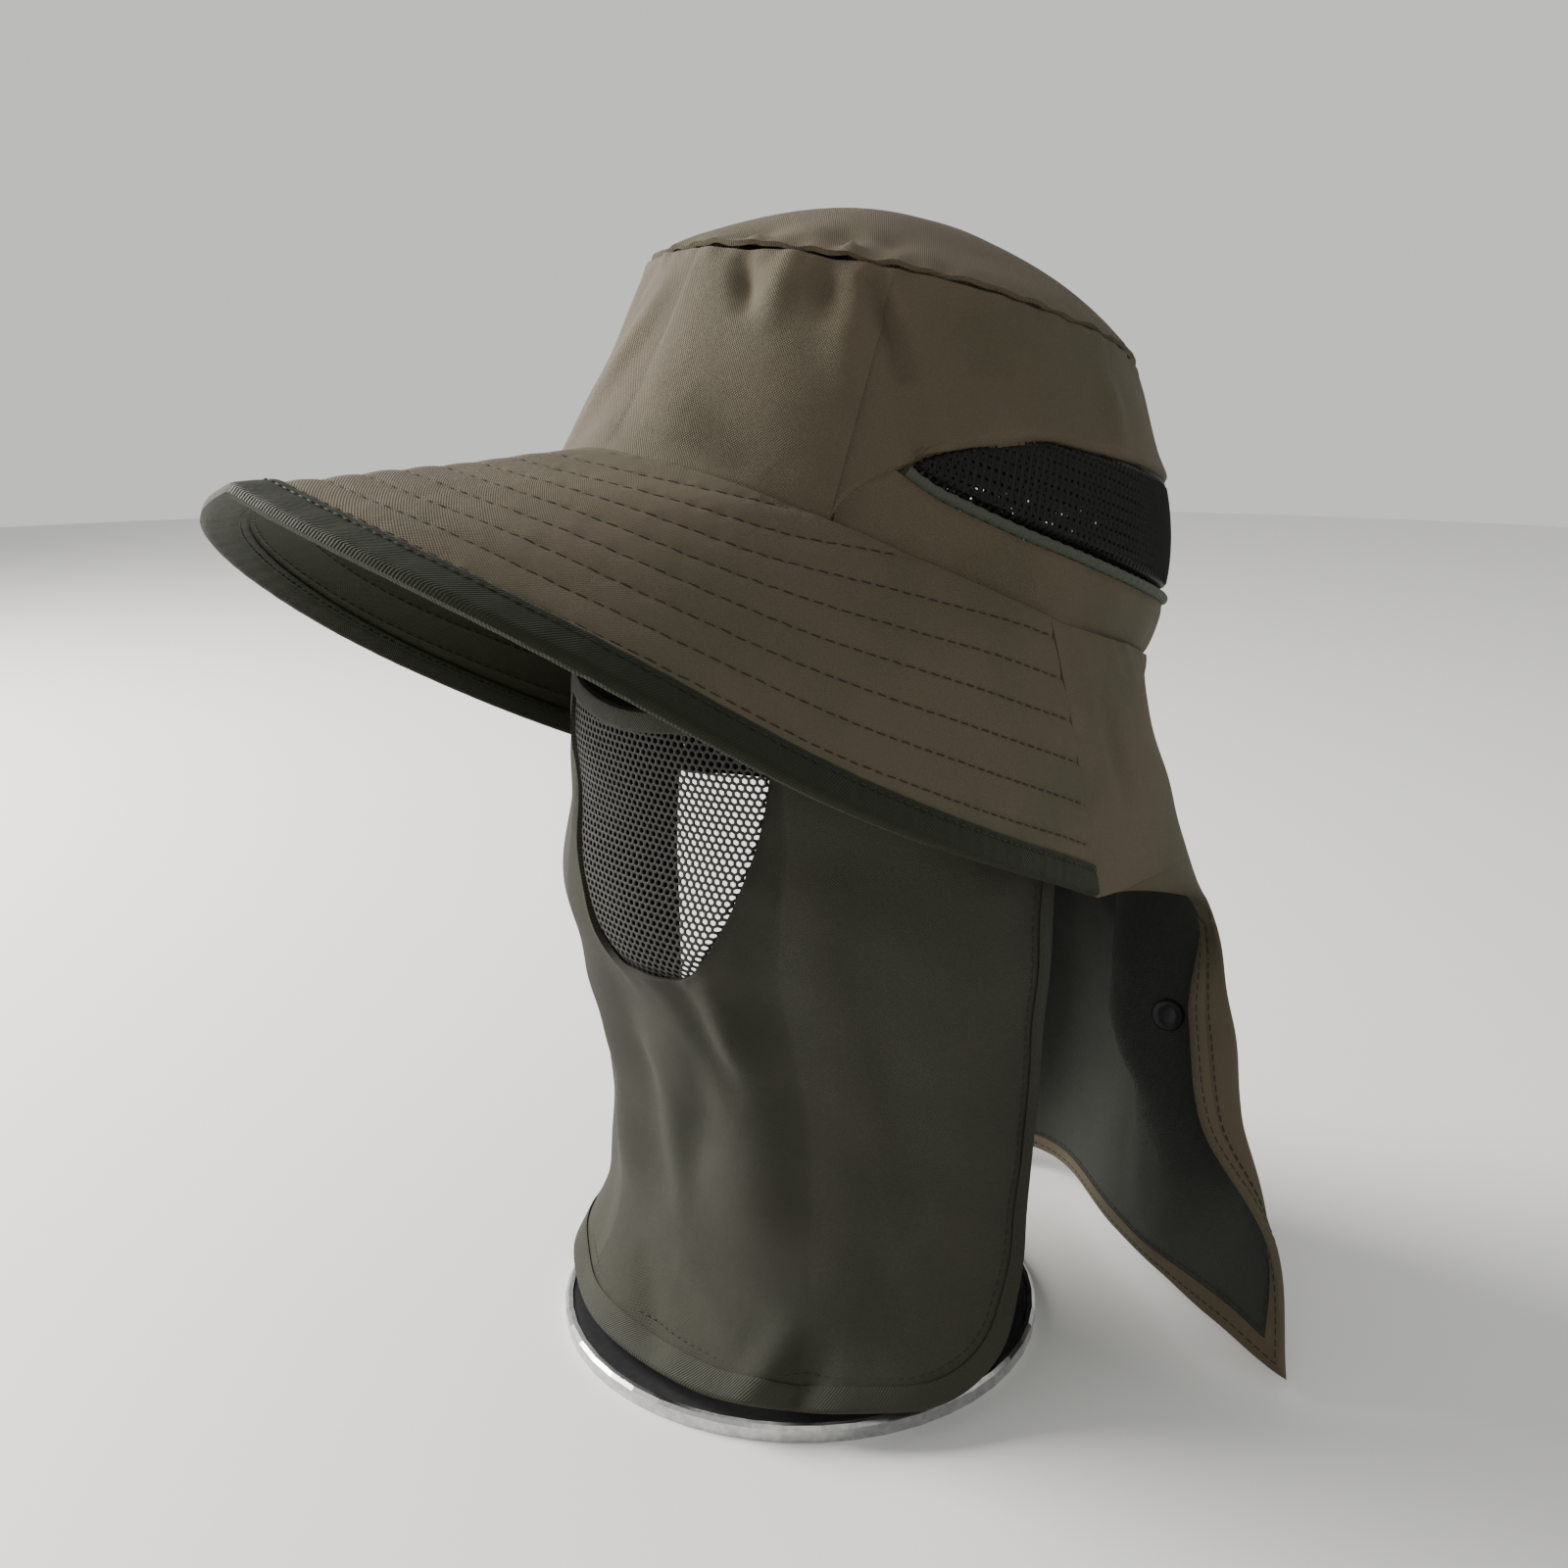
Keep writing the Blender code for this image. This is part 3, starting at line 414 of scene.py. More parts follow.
def tapeMaterial(name, colour, rib, pitch=0.0009, roughness=0.7):
    # ribbed binding tape: fine ribs across its length
    material, tree, shader = newMaterial(name)
    cloth = addNode(tree, "ShaderNodeUVMap", dict(uv_map="cloth"))
    place = addNode(tree, "ShaderNodeTexCoord", None, None, 3)
    axes = tree.nodes.new("ShaderNodeSeparateXYZ")
    tree.links.new(cloth.socket, axes.inputs[0])
    u, v = Signal(tree, axes.outputs[0]), Signal(tree, axes.outputs[1])
    ribs = ((u + v) * (2 * math.pi / pitch)).sine()
    grain = noise(tree, place, 700.0, 2.0)
    base = mixColour(tree, (ribs * 0.18 + 0.30) * grain.between(0.2, 0.8), colour, rib)
    tree.links.new(base.socket, shader.inputs["Base Color"])
    bump = addNode(tree, "ShaderNodeBump", None,
                   {"Height": ribs * 0.00008 + grain * 0.00022, "Distance": 1.0, "Strength": 0.9})
    tree.links.new(bump.socket, shader.inputs["Normal"])
    tree.links.new((grain * 0.15 + (roughness - 0.07)).socket, shader.inputs["Roughness"])
    shader.inputs["Sheen Weight"].default_value = 0.02
    shader.inputs["Specular IOR Level"].default_value = 0.16
    return material


def plainMaterial(name, colour, roughness, metallic=0.0, streak=0.0, scale=400.0):
    # moulded or metal finish with a little unevenness in tone and gloss
    material, tree, shader = newMaterial(name)
    place = addNode(tree, "ShaderNodeTexCoord", None, None, 3)
    speck = noise(tree, place, scale, 3.0)
    darker = tuple(0.72 * c for c in colour)
    tree.links.new(mixColour(tree, speck.between(0.35, 0.7), colour, darker).socket, shader.inputs["Base Color"])
    tree.links.new((speck * 0.12 + (roughness - 0.06)).socket, shader.inputs["Roughness"])
    shader.inputs["Metallic"].default_value = metallic
    shader.inputs["Specular IOR Level"].default_value = 0.2
    if streak:
        bump = addNode(tree, "ShaderNodeBump", None, {"Height": speck * streak, "Distance": 1.0, "Strength": 0.6})
        tree.links.new(bump.socket, shader.inputs["Normal"])
    return material


finishes = dict(
    taupe=clothMaterial("taupeCloth", (0.078, 0.061, 0.038), (0.046, 0.048, 0.026), (0.100, 0.084, 0.058)),
    underside=clothMaterial("undersideCloth", (0.0136, 0.0144, 0.0064), (0.0104, 0.0128, 0.0056),
                            (0.0200, 0.0208, 0.0120)),
    shade=clothMaterial("shadeCloth", (0.0299, 0.0296, 0.0204), (0.0231, 0.0248, 0.0170), (0.0408, 0.0408, 0.0313),
                        crumple=0.0007),
    lining=clothMaterial("flapLining", (0.0260, 0.0277, 0.0231), (0.0210, 0.0235, 0.0185), (0.0370, 0.0386, 0.0336),
                         crumple=0.0007),
    binding=tapeMaterial("brimTape", (0.0090, 0.0108, 0.0045), (0.0180, 0.0203, 0.0108)),
    edging=tapeMaterial("edgeTape", (0.0248, 0.0256, 0.0176), (0.0368, 0.0376, 0.0280)),
    piping=tapeMaterial("greyPiping", (0.0468, 0.0528, 0.0407), (0.0743, 0.0814, 0.0660), pitch=0.0012),
    net=plainMaterial("blackNet", (0.0042, 0.0042, 0.0042), 0.55),
    mouthNet=plainMaterial("mouthNet", (0.030, 0.030, 0.026), 0.6),
    thread=plainMaterial("darkThread", (0.0216, 0.0180, 0.0117), 0.65, scale=1500.0),
    greyThread=plainMaterial("greyThread", (0.0180, 0.0189, 0.0144), 0.65, scale=1500.0),
    plate=plainMaterial("blackPlate", (0.020, 0.020, 0.022), 0.38, streak=0.0001),
    chrome=plainMaterial("polishedRim", (0.52, 0.52, 0.52), 0.20, 1.0),
)
print("materials made")


# mesh making
def putPiece(name, verts, faces, cornerUv, materials, faceMaterial=None, caps=(), replace=(), slotName=None):
    # a finished piece in the row frame, with its UV map in metres, riding on the one body; a
    # closed piece whose faces enclose a negative volume is turned the right way out
    verts = verts.reshape(-1, 3)
    a, b, c, d = (verts[faces[:, q]] for q in range(4))
    volume = (a * (np.cross(b, c) + np.cross(c, d))).sum()
    everyFace, corners = faces.tolist() + [list(cap) for cap in caps], cornerUv
    if corners is not None:
        corners = np.concatenate([corners.reshape(-1, 2), np.zeros((sum(map(len, caps)), 2))])
    if volume < 0:
        everyFace = [face[::-1] for face in everyFace]
        if corners is not None:
            main = corners[:faces.size].reshape(-1, 4, 2)[:, ::-1].reshape(-1, 2)
            corners = np.concatenate([main, corners[faces.size:]])
    mesh = bpy.data.meshes.new(name)
    mesh.from_pydata(verts.tolist(), [], everyFace)
    if corners is not None:
        layer = mesh.uv_layers.new(name="cloth")
        layer.data.foreach_set("uv", corners.reshape(-1).astype(np.float32))
    for key in materials:
        mesh.materials.append(finishes[key])
    if faceMaterial is not None:
        mesh.polygons.foreach_set("material_index", faceMaterial.astype(np.int32))
    mesh.shade_smooth()
    mesh.set_sharp_from_angle(angle=math.radians(48))
    piece = bpy.data.objects.new(name, mesh)
    bpy.context.collection.objects.link(piece)
    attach(piece, "root")
    if replace:
        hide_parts(*replace)
    return piece


def runLength(grid, axis):
    # length walked along an axis of the grid, averaged over the other one
    step = np.linalg.norm(np.diff(grid, axis=axis), axis=-1)
    return np.concatenate([[0.0], np.cumsum(step.mean(axis=1 - axis))])


def wallPiece(name, grid, thick, materials, loop=False, inner=None, **finish):
    # two skins half a thickness either side of the grid, joined round every open edge; thick may
    # change over the grid, so that an edge can be rolled
    n, m = grid.shape[:2]
    closedGrid = np.concatenate([grid, grid[:1]]) if loop else grid
    uv = np.stack(unwrapGrid(runLength(closedGrid, 0), runLength(grid, 1)), axis=-1).reshape(-1, 2)
    half = 0.5 * np.broadcast_to(thick, (n, m))[..., None] * normalsOf(grid, loop)
    verts = np.concatenate([(grid + half).reshape(-1, 3), (grid - half).reshape(-1, 3)])
    i, j = unwrapGrid(np.arange(n if loop else n - 1), np.arange(m - 1))
    k = (i + 1) % n
    outer = np.stack([i * m + j, k * m + j, k * m + j + 1, i * m + j + 1], axis=-1).reshape(-1, 4)
    corner = np.stack([i * m + j, (i + 1) * m + j, (i + 1) * m + j + 1, i * m + j + 1], axis=-1).reshape(-1, 4)
    faces, corners = [outer, outer[:, ::-1] + n * m], [corner, corner[:, ::-1]]
    a = np.arange(n if loop else n - 1)
    b, c = (a + 1) % n, a + 1
    for edge, flip in ((0, False), (m - 1, True)):
        rim = np.stack([a * m + edge, a * m + edge + n * m, b * m + edge + n * m, b * m + edge], axis=-1)
        at = np.stack([a * m + edge, a * m + edge, c * m + edge, c * m + edge], axis=-1)
        faces.append(rim[:, ::-1] if flip else rim)
        corners.append(at[:, ::-1] if flip else at)
    if not loop:
        j = np.arange(m - 1)
        for start, flip in ((0, False), ((n - 1) * m, True)):
            rim = np.stack([start + j, start + j + 1, start + j + 1 + n * m, start + j + n * m], axis=-1)
            at = np.stack([start + j, start + j + 1, start + j + 1, start + j], axis=-1)
            faces.append(rim[:, ::-1] if flip else rim)
            corners.append(at[:, ::-1] if flip else at)
    which = np.concatenate([np.full(len(f), 1 if (inner is not None and i == 1) else 0) for i, f in enumerate(faces)])
    kinds = [materials] if inner is None else [materials, inner]
    return putPiece(name, verts, np.concatenate(faces), uv[np.concatenate(corners)], kinds, which, **finish)


def stitchRows(name, rows, material, pitch=0.0036, length=0.0027, radius=0.00026, sink=0.4):
    # every row is (points, normals): a small spindle of thread lies along it at each pitch
    ring = np.array([(math.cos(t), math.sin(t)) for t in np.linspace(0, 2 * math.pi, 6, endpoint=False)])
    shares, girths = np.array([-0.5, -0.34, 0.34, 0.5]), np.array([0.15, 0.95, 0.95, 0.15])
    template = np.array([(s * length, g * radius * p[0], g * radius * p[1])
                         for s, g in zip(shares, girths) for p in ring])
    verts = []
    for points, normals in rows:
        walked = np.concatenate([[0], np.cumsum(np.linalg.norm(np.diff(points, axis=0), axis=1))])
        count = int(walked[-1] / pitch)
        if count < 1:
            continue
        at = (np.arange(count) + 0.5) * walked[-1] / count
        centre = np.stack([np.interp(at, walked, points[:, k]) for k in range(3)], axis=-1)
        ahead = np.stack([np.interp(at + 0.0008, walked, points[:, k]) for k in range(3)], axis=-1)
        behind = np.stack([np.interp(at - 0.0008, walked, points[:, k]) for k in range(3)], axis=-1)
        up = unit(np.stack([np.interp(at, walked, normals[:, k]) for k in range(3)], axis=-1))
        along = unit(ahead - behind)
        side = unit(np.cross(up, along))
        centre = centre + up * radius * sink
        verts.append(centre[:, None] + template[None, :, :1] * along[:, None]
                     + template[None, :, 1:2] * side[:, None] + template[None, :, 2:] * up[:, None])
    verts = np.concatenate(verts)
    j, s = unwrapGrid(np.arange(3), np.arange(6))
    one = np.stack([j * 6 + s, j * 6 + (s + 1) % 6, (j + 1) * 6 + (s + 1) % 6, (j + 1) * 6 + s],
                   axis=-1).reshape(-1, 4)
    caps = np.array([[0, 5, 4, 3], [0, 3, 2, 1], [18, 19, 20, 21], [18, 21, 22, 23]])
    one = np.concatenate([one, caps])
    faces = (np.arange(len(verts))[:, None, None] * 24 + one[None]).reshape(-1, 4)
    return putPiece(name, verts, faces, None, [material])


def netPiece(name, surface, uSpan, vSpan, keep, pitch, hole, thick, material, stretch=1.0, **finish):
    # knitted net: six-sided cells, each a frame round a six-sided hole, laid on the surface;
    # keep says which cell centres are inside the panel
    side = pitch / math.sqrt(3)
    stepV = 1.5 * side * stretch
    u, v = unwrapGrid(np.arange(uSpan[0], uSpan[1], pitch), np.arange(vSpan[0], vSpan[1], stepV))
    u = u + 0.5 * pitch * (np.arange(u.shape[1])[None] % 2)
    inside = keep(u, v)
    u, v = u[inside], v[inside]
    turn = np.radians(30 + 60 * np.arange(6))
    corner = np.stack([np.cos(turn), np.sin(turn) * stretch], axis=-1)
    centre = np.stack([u, v], axis=-1)[:, None]
    frameRim = (centre + side * corner[None]).reshape(-1, 2)
    holeRim = (centre + side * hole * corner[None]).reshape(-1, 2)
    _, first, back = np.unique(frameRim.round(6), axis=0, return_index=True, return_inverse=True)
    flat = np.concatenate([frameRim[first], holeRim])
    count = len(u)
    outer = back.reshape(count, 6)
    inner = len(first) + np.arange(count * 6).reshape(count, 6)
    faces = np.stack([outer, np.roll(outer, -1, 1), np.roll(inner, -1, 1), inner], axis=-1).reshape(-1, 4)
    piece = putPiece(name, surface(flat[:, 0], flat[:, 1]), faces, flat[faces], [material], **finish)
    wall = piece.modifiers.new("threadThickness", "SOLIDIFY")
    wall.thickness, wall.offset = thick, 0.0
    return piece


def foldedTape(name, grid, cloth, tape, material, clear=0.0001, rise=0.0, **finish):
    # tape folded over an edge: the grid runs from the tape's cut edge (first across) to its fold
    # (last), and a U-shaped section is carried along it, with the cloth's edge inside the U
    n, m = grid.shape[:2]
    up, t = normalsOf(grid), np.linspace(0, 1, grid.shape[1])
    fold = np.sqrt(np.clip(1 - np.clip((t - 0.80) / 0.20, 0, 1)**2.2, 0, 1))
    outside = (0.5 * cloth + clear + tape) * fold * (1 - 0.15 * np.exp(-(t / 0.05)**2))
    lift = np.broadcast_to(rise, (n, m)) * fold
    inside, deep = 0.5 * cloth + clear, int(0.80 * m)
    above, below = grid + up * (outside + lift)[..., None], grid - up * (outside + lift)[..., None]
    ring = np.concatenate([above, below[:, -2::-1], (grid - up * inside)[:, 1:deep],
                           (grid + up * inside)[:, deep - 1:0:-1]], axis=1)
    across = np.concatenate([t, t[-2::-1], t[1:deep], t[deep - 1:0:-1]])
    count = ring.shape[1]
    i, j = unwrapGrid(np.arange(n - 1), np.arange(count))
    k = (j + 1) % count
    faces = np.stack([i * count + j, (i + 1) * count + j, (i + 1) * count + k, i * count + k],
                     axis=-1).reshape(-1, 4)
    wide = float(np.linalg.norm(grid[:, -1] - grid[:, 0], axis=-1).mean())
    uv = np.stack(unwrapGrid(runLength(grid, 0), across * wide), axis=-1).reshape(-1, 2)
    caps = [list(range(count)), [(n - 1) * count + c for c in reversed(range(count))]]
    return putPiece(name, ring, faces, uv[faces], [material], caps=caps, **finish)


# crown
crownPiece = dict(
    rows=54, cloth=0.0014, seamGap=0.0007, tuck=0.0021,
    # creases in the unrolled wall: mm round from the front, mm up from the ring, to the same,
    # then half width and height in mm
    creases=(
        (61, 72, 75, 48, 3.0, -3.6), (75, 48, 84, 24, 5.0, -2.1), (52, 70, 62, 40, 6.0, 2.2),
        (-12, 62, -26, 4, 6.0, 2.1), (19, 72, 26, 58, 4.0, -3.0), (47, 74, 52, 60, 4.5, -3.3),
        (34, 74, 36, 56, 5.0, 1.8), (96, 50, 112, 30, 8.0, 2.1), (18, 24, 50, 10, 8.0, -1.5),
        (4, 8, 40, 4, 5.0, -1.2), (90, 66, 104, 44, 6.0, -2.0), (-60, 62, -72, 20, 7.0, -2.2),
        (-100, 60, -122, 36, 7.0, 2.0), (136, 66, 142, 52, 5.0, 1.8), (172, 70, 190, 56, 8.0, -2.0),
        (-30, 70, -44, 40, 6.0, -1.8), (-140, 66, -150, 50, 6.0, -1.8), (220, 66, 232, 50, 6.0, 1.8),
    ),
)


def crownRelief(angle, share, seamTop=1.0):
    # creases, puckers where the top seam gathers the cloth, and a soft unevenness
    u, v = angle * 0.082, share * 0.078
    relief = creaseRelief(np.where(u > 0.2576, u - 0.5152, u), v, crownPiece["creases"])
    pull = np.exp(-((seamTop - share) / 0.055)**2)
    relief = relief + pull * ripple(u, 0 * v, 5, (0.0083, 0.0117, 0.0191), 0.00075)
    relief = relief - 0.0005 * np.exp(-((seamTop - share) / 0.012)**2)
    edge = softStep((seamTop - share) / 0.02)
    relief = relief * softStep(share / 0.04)
    edge = edge * softStep(share / 0.05)
    return relief + edge * ripple(u, v, 11, (0.034, 0.047, 0.061), 0.00055)


def withRelief(grid, relief, loop=False):
    return grid + normalsOf(grid, loop) * relief[..., None]


# more columns where the band's seam climbs steeply from the ring
halfTurn = np.concatenate([np.linspace(0, 44, 60), np.linspace(44.5, 48, 16), np.linspace(48.5, 60, 16),
                           np.linspace(61.5, 180, 84)])
around = np.radians(np.concatenate([halfTurn, 360 - halfTurn[-2:0:-1]]))
turnFromFront = fromFront(around)
wallHeight = np.linalg.norm(topPoint(around) - ringPoint(around), axis=-1)
foot = np.where(turnFromFront < math.radians(netPanel["bandStart"]), 0.0,
                np.where(turnFromFront < math.radians(netPanel["start"]), bandSeam(around), netEdge(around, False)))
step = np.linspace(0, 1, crownPiece["rows"])
lap = 0.0034 / wallHeight
share = (foot - lap)[:, None] * (1 - step) + (1 - crownPiece["seamGap"] / wallHeight)[:, None] * step
angle = around[:, None] + 0 * share
grid = crownWall(angle, share)
# the allowance that is turned in under the band and the net lies a cloth's thickness further in
below = (foot[:, None] + 0.1 * lap[:, None] - share) / (0.5 * lap[:, None])
tuck = crownPiece["tuck"] * softStep(below) * (foot > 0)[:, None]
inward = ringOutward(angle)
grid = grid - tuck[..., None] * np.stack([inward[..., 0], inward[..., 1], 0 * share], axis=-1)
# the panel's lower edge over the net is turned under, so it stands a little proud
lowerEdge = np.exp(-((share - foot[:, None]) * wallHeight[:, None] / 0.0022)**2) * (foot > 0.01)[:, None]
grid = withRelief(grid, crownRelief(angle, share), True)
crownSide = wallPiece("crown_side_cloth", grid, crownPiece["cloth"] + 0.0006 * lowerEdge, "taupe", loop=True,
                      replace=("crown_side",), slotName="taupe")
print("crown side made")


topPiece = dict(
    columns=240, rows=44, cloth=0.0014, lift=0.0008,
    # pits along the near seam: degrees from the front, share of the radius, width and depth in mm
    pits=((12, 0.92, 5.0, 2.6), (33, 0.90, 6.0, 3.4), (44, 0.88, 5.0, 2.0), (-20, 0.93, 6.0, 1.6)),
    knobs=((14.5, 0.975, 1.6, 1.5), (36, 0.965, 1.8, 1.8)),
)


def topSurface(angle, share):
    rise = topPanel["dome"] * (1 - share**2)
    points, flat = topPoint(angle, share, rise), topPoint(angle, share)
    for turn, radius, wide, deep in topPiece["pits"]:
        near = np.linalg.norm(flat - topPoint(np.array(math.radians(turn)), radius), axis=-1) / (0.001 * wide)
        points[..., 2] -= 0.001 * deep * np.exp(-near**2) * (1 - share**10)
    for turn, radius, wide, high in topPiece["knobs"]:
        near = np.linalg.norm(flat - topPoint(np.array(math.radians(turn)), radius), axis=-1) / (0.001 * wide)
        points[..., 2] += 0.001 * high * np.exp(-near**2)
    rim = np.exp(-((1 - share) / 0.06)**2)
    wave = ripple(angle * 0.072, 0 * share, 5, (0.0083, 0.0117, 0.0191), 0.0009)
    broad = ripple(points[..., 0], points[..., 1], 21, (0.030, 0.043, 0.058), 0.0009)
    points[..., 2] += topPiece["lift"] + rim * wave + broad * softStep((1 - share) / 0.1)
    return points


ringShares = np.concatenate([1 - np.linspace(0, 0.30, 16), np.linspace(0.70, 0.006, topPiece["rows"] - 17)[1:]])
angle, share = unwrapGrid(np.linspace(-math.pi, math.pi, topPiece["columns"], endpoint=False), ringShares)
grid = topSurface(angle, share)
half = 0.5 * topPiece["cloth"] * normalsOf(grid, True)
if half[0, 0, 2] < 0:
    half = -half
n, m = grid.shape[:2]
pole = grid[:, -1].mean(axis=0)
poleHalf = unit(half[:, -1].mean(axis=0)) * 0.5 * topPiece["cloth"]
verts = np.concatenate([(grid + half).reshape(-1, 3), (grid - half).reshape(-1, 3),
                        [pole + poleHalf], [pole - poleHalf]])
i, j = unwrapGrid(np.arange(n), np.arange(m - 1))
k = (i + 1) % n
quads = np.stack([i * m + j, k * m + j, k * m + j + 1, i * m + j + 1], axis=-1).reshape(-1, 4)
a = np.arange(n)
b = (a + 1) % n
rim = np.stack([a * m + n * m, b * m + n * m, b * m, a * m], axis=-1)
pairs = np.arange(0, n, 2)
tipOuter = np.stack([pairs * m + m - 1, (pairs + 1) % n * m + m - 1, (pairs + 2) % n * m + m - 1,
                     0 * pairs + 2 * n * m], axis=-1)
tipInner = np.stack([pairs * m + m - 1 + n * m, 0 * pairs + 2 * n * m + 1, (pairs + 2) % n * m + m - 1 + n * m,
                     (pairs + 1) % n * m + m - 1 + n * m], axis=-1)
faces = np.concatenate([quads, quads[:, ::-1] + n * m, rim, tipOuter, tipInner])
crownTip = putPiece("crown_tip_cloth", verts, faces, verts[faces][..., :2], ["taupe"], replace=("crown_tip",),
                    slotName="taupe")
print("crown top made")


# net at the back of the crown, with vertical ribs
crownNet = dict(pitch=0.0021, hole=0.50, thick=0.00035, ribPitch=0.0020, ribRadius=0.00062, radius=0.082,
                height=0.088)


def crownInside(angle, share):
    # the net lies just inside the wall, and dips in under the cloth above it and the band below
    dip = (softStep((share - netEdge(angle, False) + 0.030) / 0.020)
           + softStep((netEdge(angle, True) + 0.050 - share) / 0.025))
    n = ringOutward(angle)
    return crownWall(angle, share) - (0.0004 + 0.0038 * np.clip(dip, 0, 1))[..., None] * np.stack(
        [n[..., 0], n[..., 1], 0 * n[..., 0]], axis=-1)


def crownNetSurface(u, v):
    return crownInside(u / crownNet["radius"] + math.pi, v / crownNet["height"])


def insideNet(u, v):
    angle, share = u / crownNet["radius"] + math.pi, v / crownNet["height"]
    low, high = netEdge(angle, True), netEdge(angle, False)
    return (share > low - 0.020) & (share < high + 0.030) & (fromFront(angle) > math.radians(netPanel["start"] - 0.5))


halfSpan = (math.pi - math.radians(netPanel["start"])) * crownNet["radius"]
crownMesh = netPiece("crown_net", crownNetSurface, (-halfSpan, halfSpan), (0.012, 0.062), insideNet,
                     crownNet["pitch"], crownNet["hole"], crownNet["thick"], "net", replace=("crown_mesh",),
                     slotName="black_net")
ribAt = np.arange(-halfSpan + 0.006, halfSpan - 0.005, crownNet["ribPitch"])
ribAngle = ribAt / crownNet["radius"] + math.pi
low, high = netEdge(ribAngle, True) - 0.010, netEdge(ribAngle, False) + 0.020
step = np.linspace(0, 1, 14)
share = low[:, None] * (1 - step) + high[:, None] * step
path = crownInside(ribAngle[:, None] + 0 * share, share)
upward = normalsOf(path)
sideways = unit(np.cross(upward, np.gradient(path, axis=1)))
turn = np.linspace(0, 2 * math.pi, 5, endpoint=False)
tube = path[:, :, None] + crownNet["ribRadius"] * (np.cos(turn)[:, None] * upward[:, :, None]
                                                  + np.sin(turn)[:, None] * sideways[:, :, None])
r, s, t = np.meshgrid(np.arange(len(ribAt)), np.arange(13), np.arange(5), indexing="ij")


def ribCorner(rib, ring, side):
    return (rib * 14 + ring) * 5 + side % 5


faces = np.stack([ribCorner(r, s, t), ribCorner(r, s, t + 1), ribCorner(r, s + 1, t + 1), ribCorner(r, s + 1, t)],
                 axis=-1).reshape(-1, 4)
crownRibs = putPiece("crown_net_ribs", tube, faces, None, ["net"], slotName="black_net")
print("crown net made")


# band under the net and the piping along its upper edge
bandPiece = dict(columns=280, rows=24, cloth=0.0014, gap=0.0005, lap=0.0034,
                 piping=0.0015, pipingRings=320, pipingSides=12)

back = np.linspace(math.radians(netPanel["bandStart"] + 0.6), 2 * math.pi - math.radians(netPanel["bandStart"] + 0.6),
                   bandPiece["columns"])
height = np.linalg.norm(topPoint(back) - ringPoint(back), axis=-1)
beforeNet = fromFront(back) < math.radians(netPanel["start"])
seam = np.where(beforeNet, bandSeam(back), netEdge(back, True))
seam = seam - np.where(beforeNet, bandPiece["gap"], bandPiece["piping"] + 0.0002) / height
step = np.linspace(0, 1, bandPiece["rows"])
share = (seam + bandPiece["lap"] / height)[:, None] * step - (bandPiece["lap"] / height)[:, None]
angle = back[:, None] + 0 * share
relief = softStep(share / 0.03) * (ripple(angle * 0.085, share * 0.09, 31, (0.021, 0.033), 0.00035)
          - 0.0004 * np.exp(-((seam[:, None] - share) * height[:, None] / 0.0016)**2))
grid = withRelief(crownWall(angle, share), relief)
rearBand = wallPiece("rear_band_cloth", grid, bandPiece["cloth"], "taupe", replace=("rear_band",), slotName="taupe")

turns = np.linspace(math.radians(netPanel["start"] + 1.2), 2 * math.pi - math.radians(netPanel["start"] + 1.2),
                    bandPiece["pipingRings"])
path = crownWall(turns, netEdge(turns, True))
along = unit(np.gradient(path, axis=0))
across = unit(np.cross(along, np.array([0.0, 0.0, 1.0])))
upward = np.cross(across, along)
rings, sides = bandPiece["pipingRings"], bandPiece["pipingSides"]
beat = 1 + 0.10 * np.sin(np.arange(rings) * 1.9)
ringTurn = np.linspace(0, 2 * math.pi, sides, endpoint=False)
tube = path[:, None] + bandPiece["piping"] * beat[:, None, None] * (
    np.cos(ringTurn)[None, :, None] * across[:, None] + np.sin(ringTurn)[None, :, None] * upward[:, None])
i, j = unwrapGrid(np.arange(rings - 1), np.arange(sides))
k = (j + 1) % sides
faces = np.stack([i * sides + j, i * sides + k, (i + 1) * sides + k, (i + 1) * sides + j], axis=-1).reshape(-1, 4)
corner = np.stack([i, i, i + 1, i + 1], axis=-1).reshape(-1, 4) * 0.0013
caps = [list(range(sides)), [(rings - 1) * sides + c for c in reversed(range(sides))]]
putPiece("band_piping_cord", tube, faces, np.stack([corner, 0 * corner], axis=-1), ["piping"], caps=caps,
         replace=("band_piping",), slotName="grey_green")
print("rear band made")


# brim
brimPiece = dict(
    columns=300, rows=92, cloth=0.0024, binding=0.0085,
    rowStart=0.0130, rowStep=0.0104, rowCount=9,     # stitch rows, counted in from the edge
    groove=0.00042, grooveWidth=0.0009, quilt=0.00030,
)
brimNarrow = brimShape["width"] * min(brimShape["share"])
bindingShare = 1 - brimPiece["binding"] / brimNarrow
endTop, endEdge = math.radians(brimShape["endTop"]), math.radians(brimShape["endEdge"])


def brimGrid(along, shares):
    a, s = unwrapGrid(along, shares)
    return a * (endTop + (endEdge - endTop) * s), s


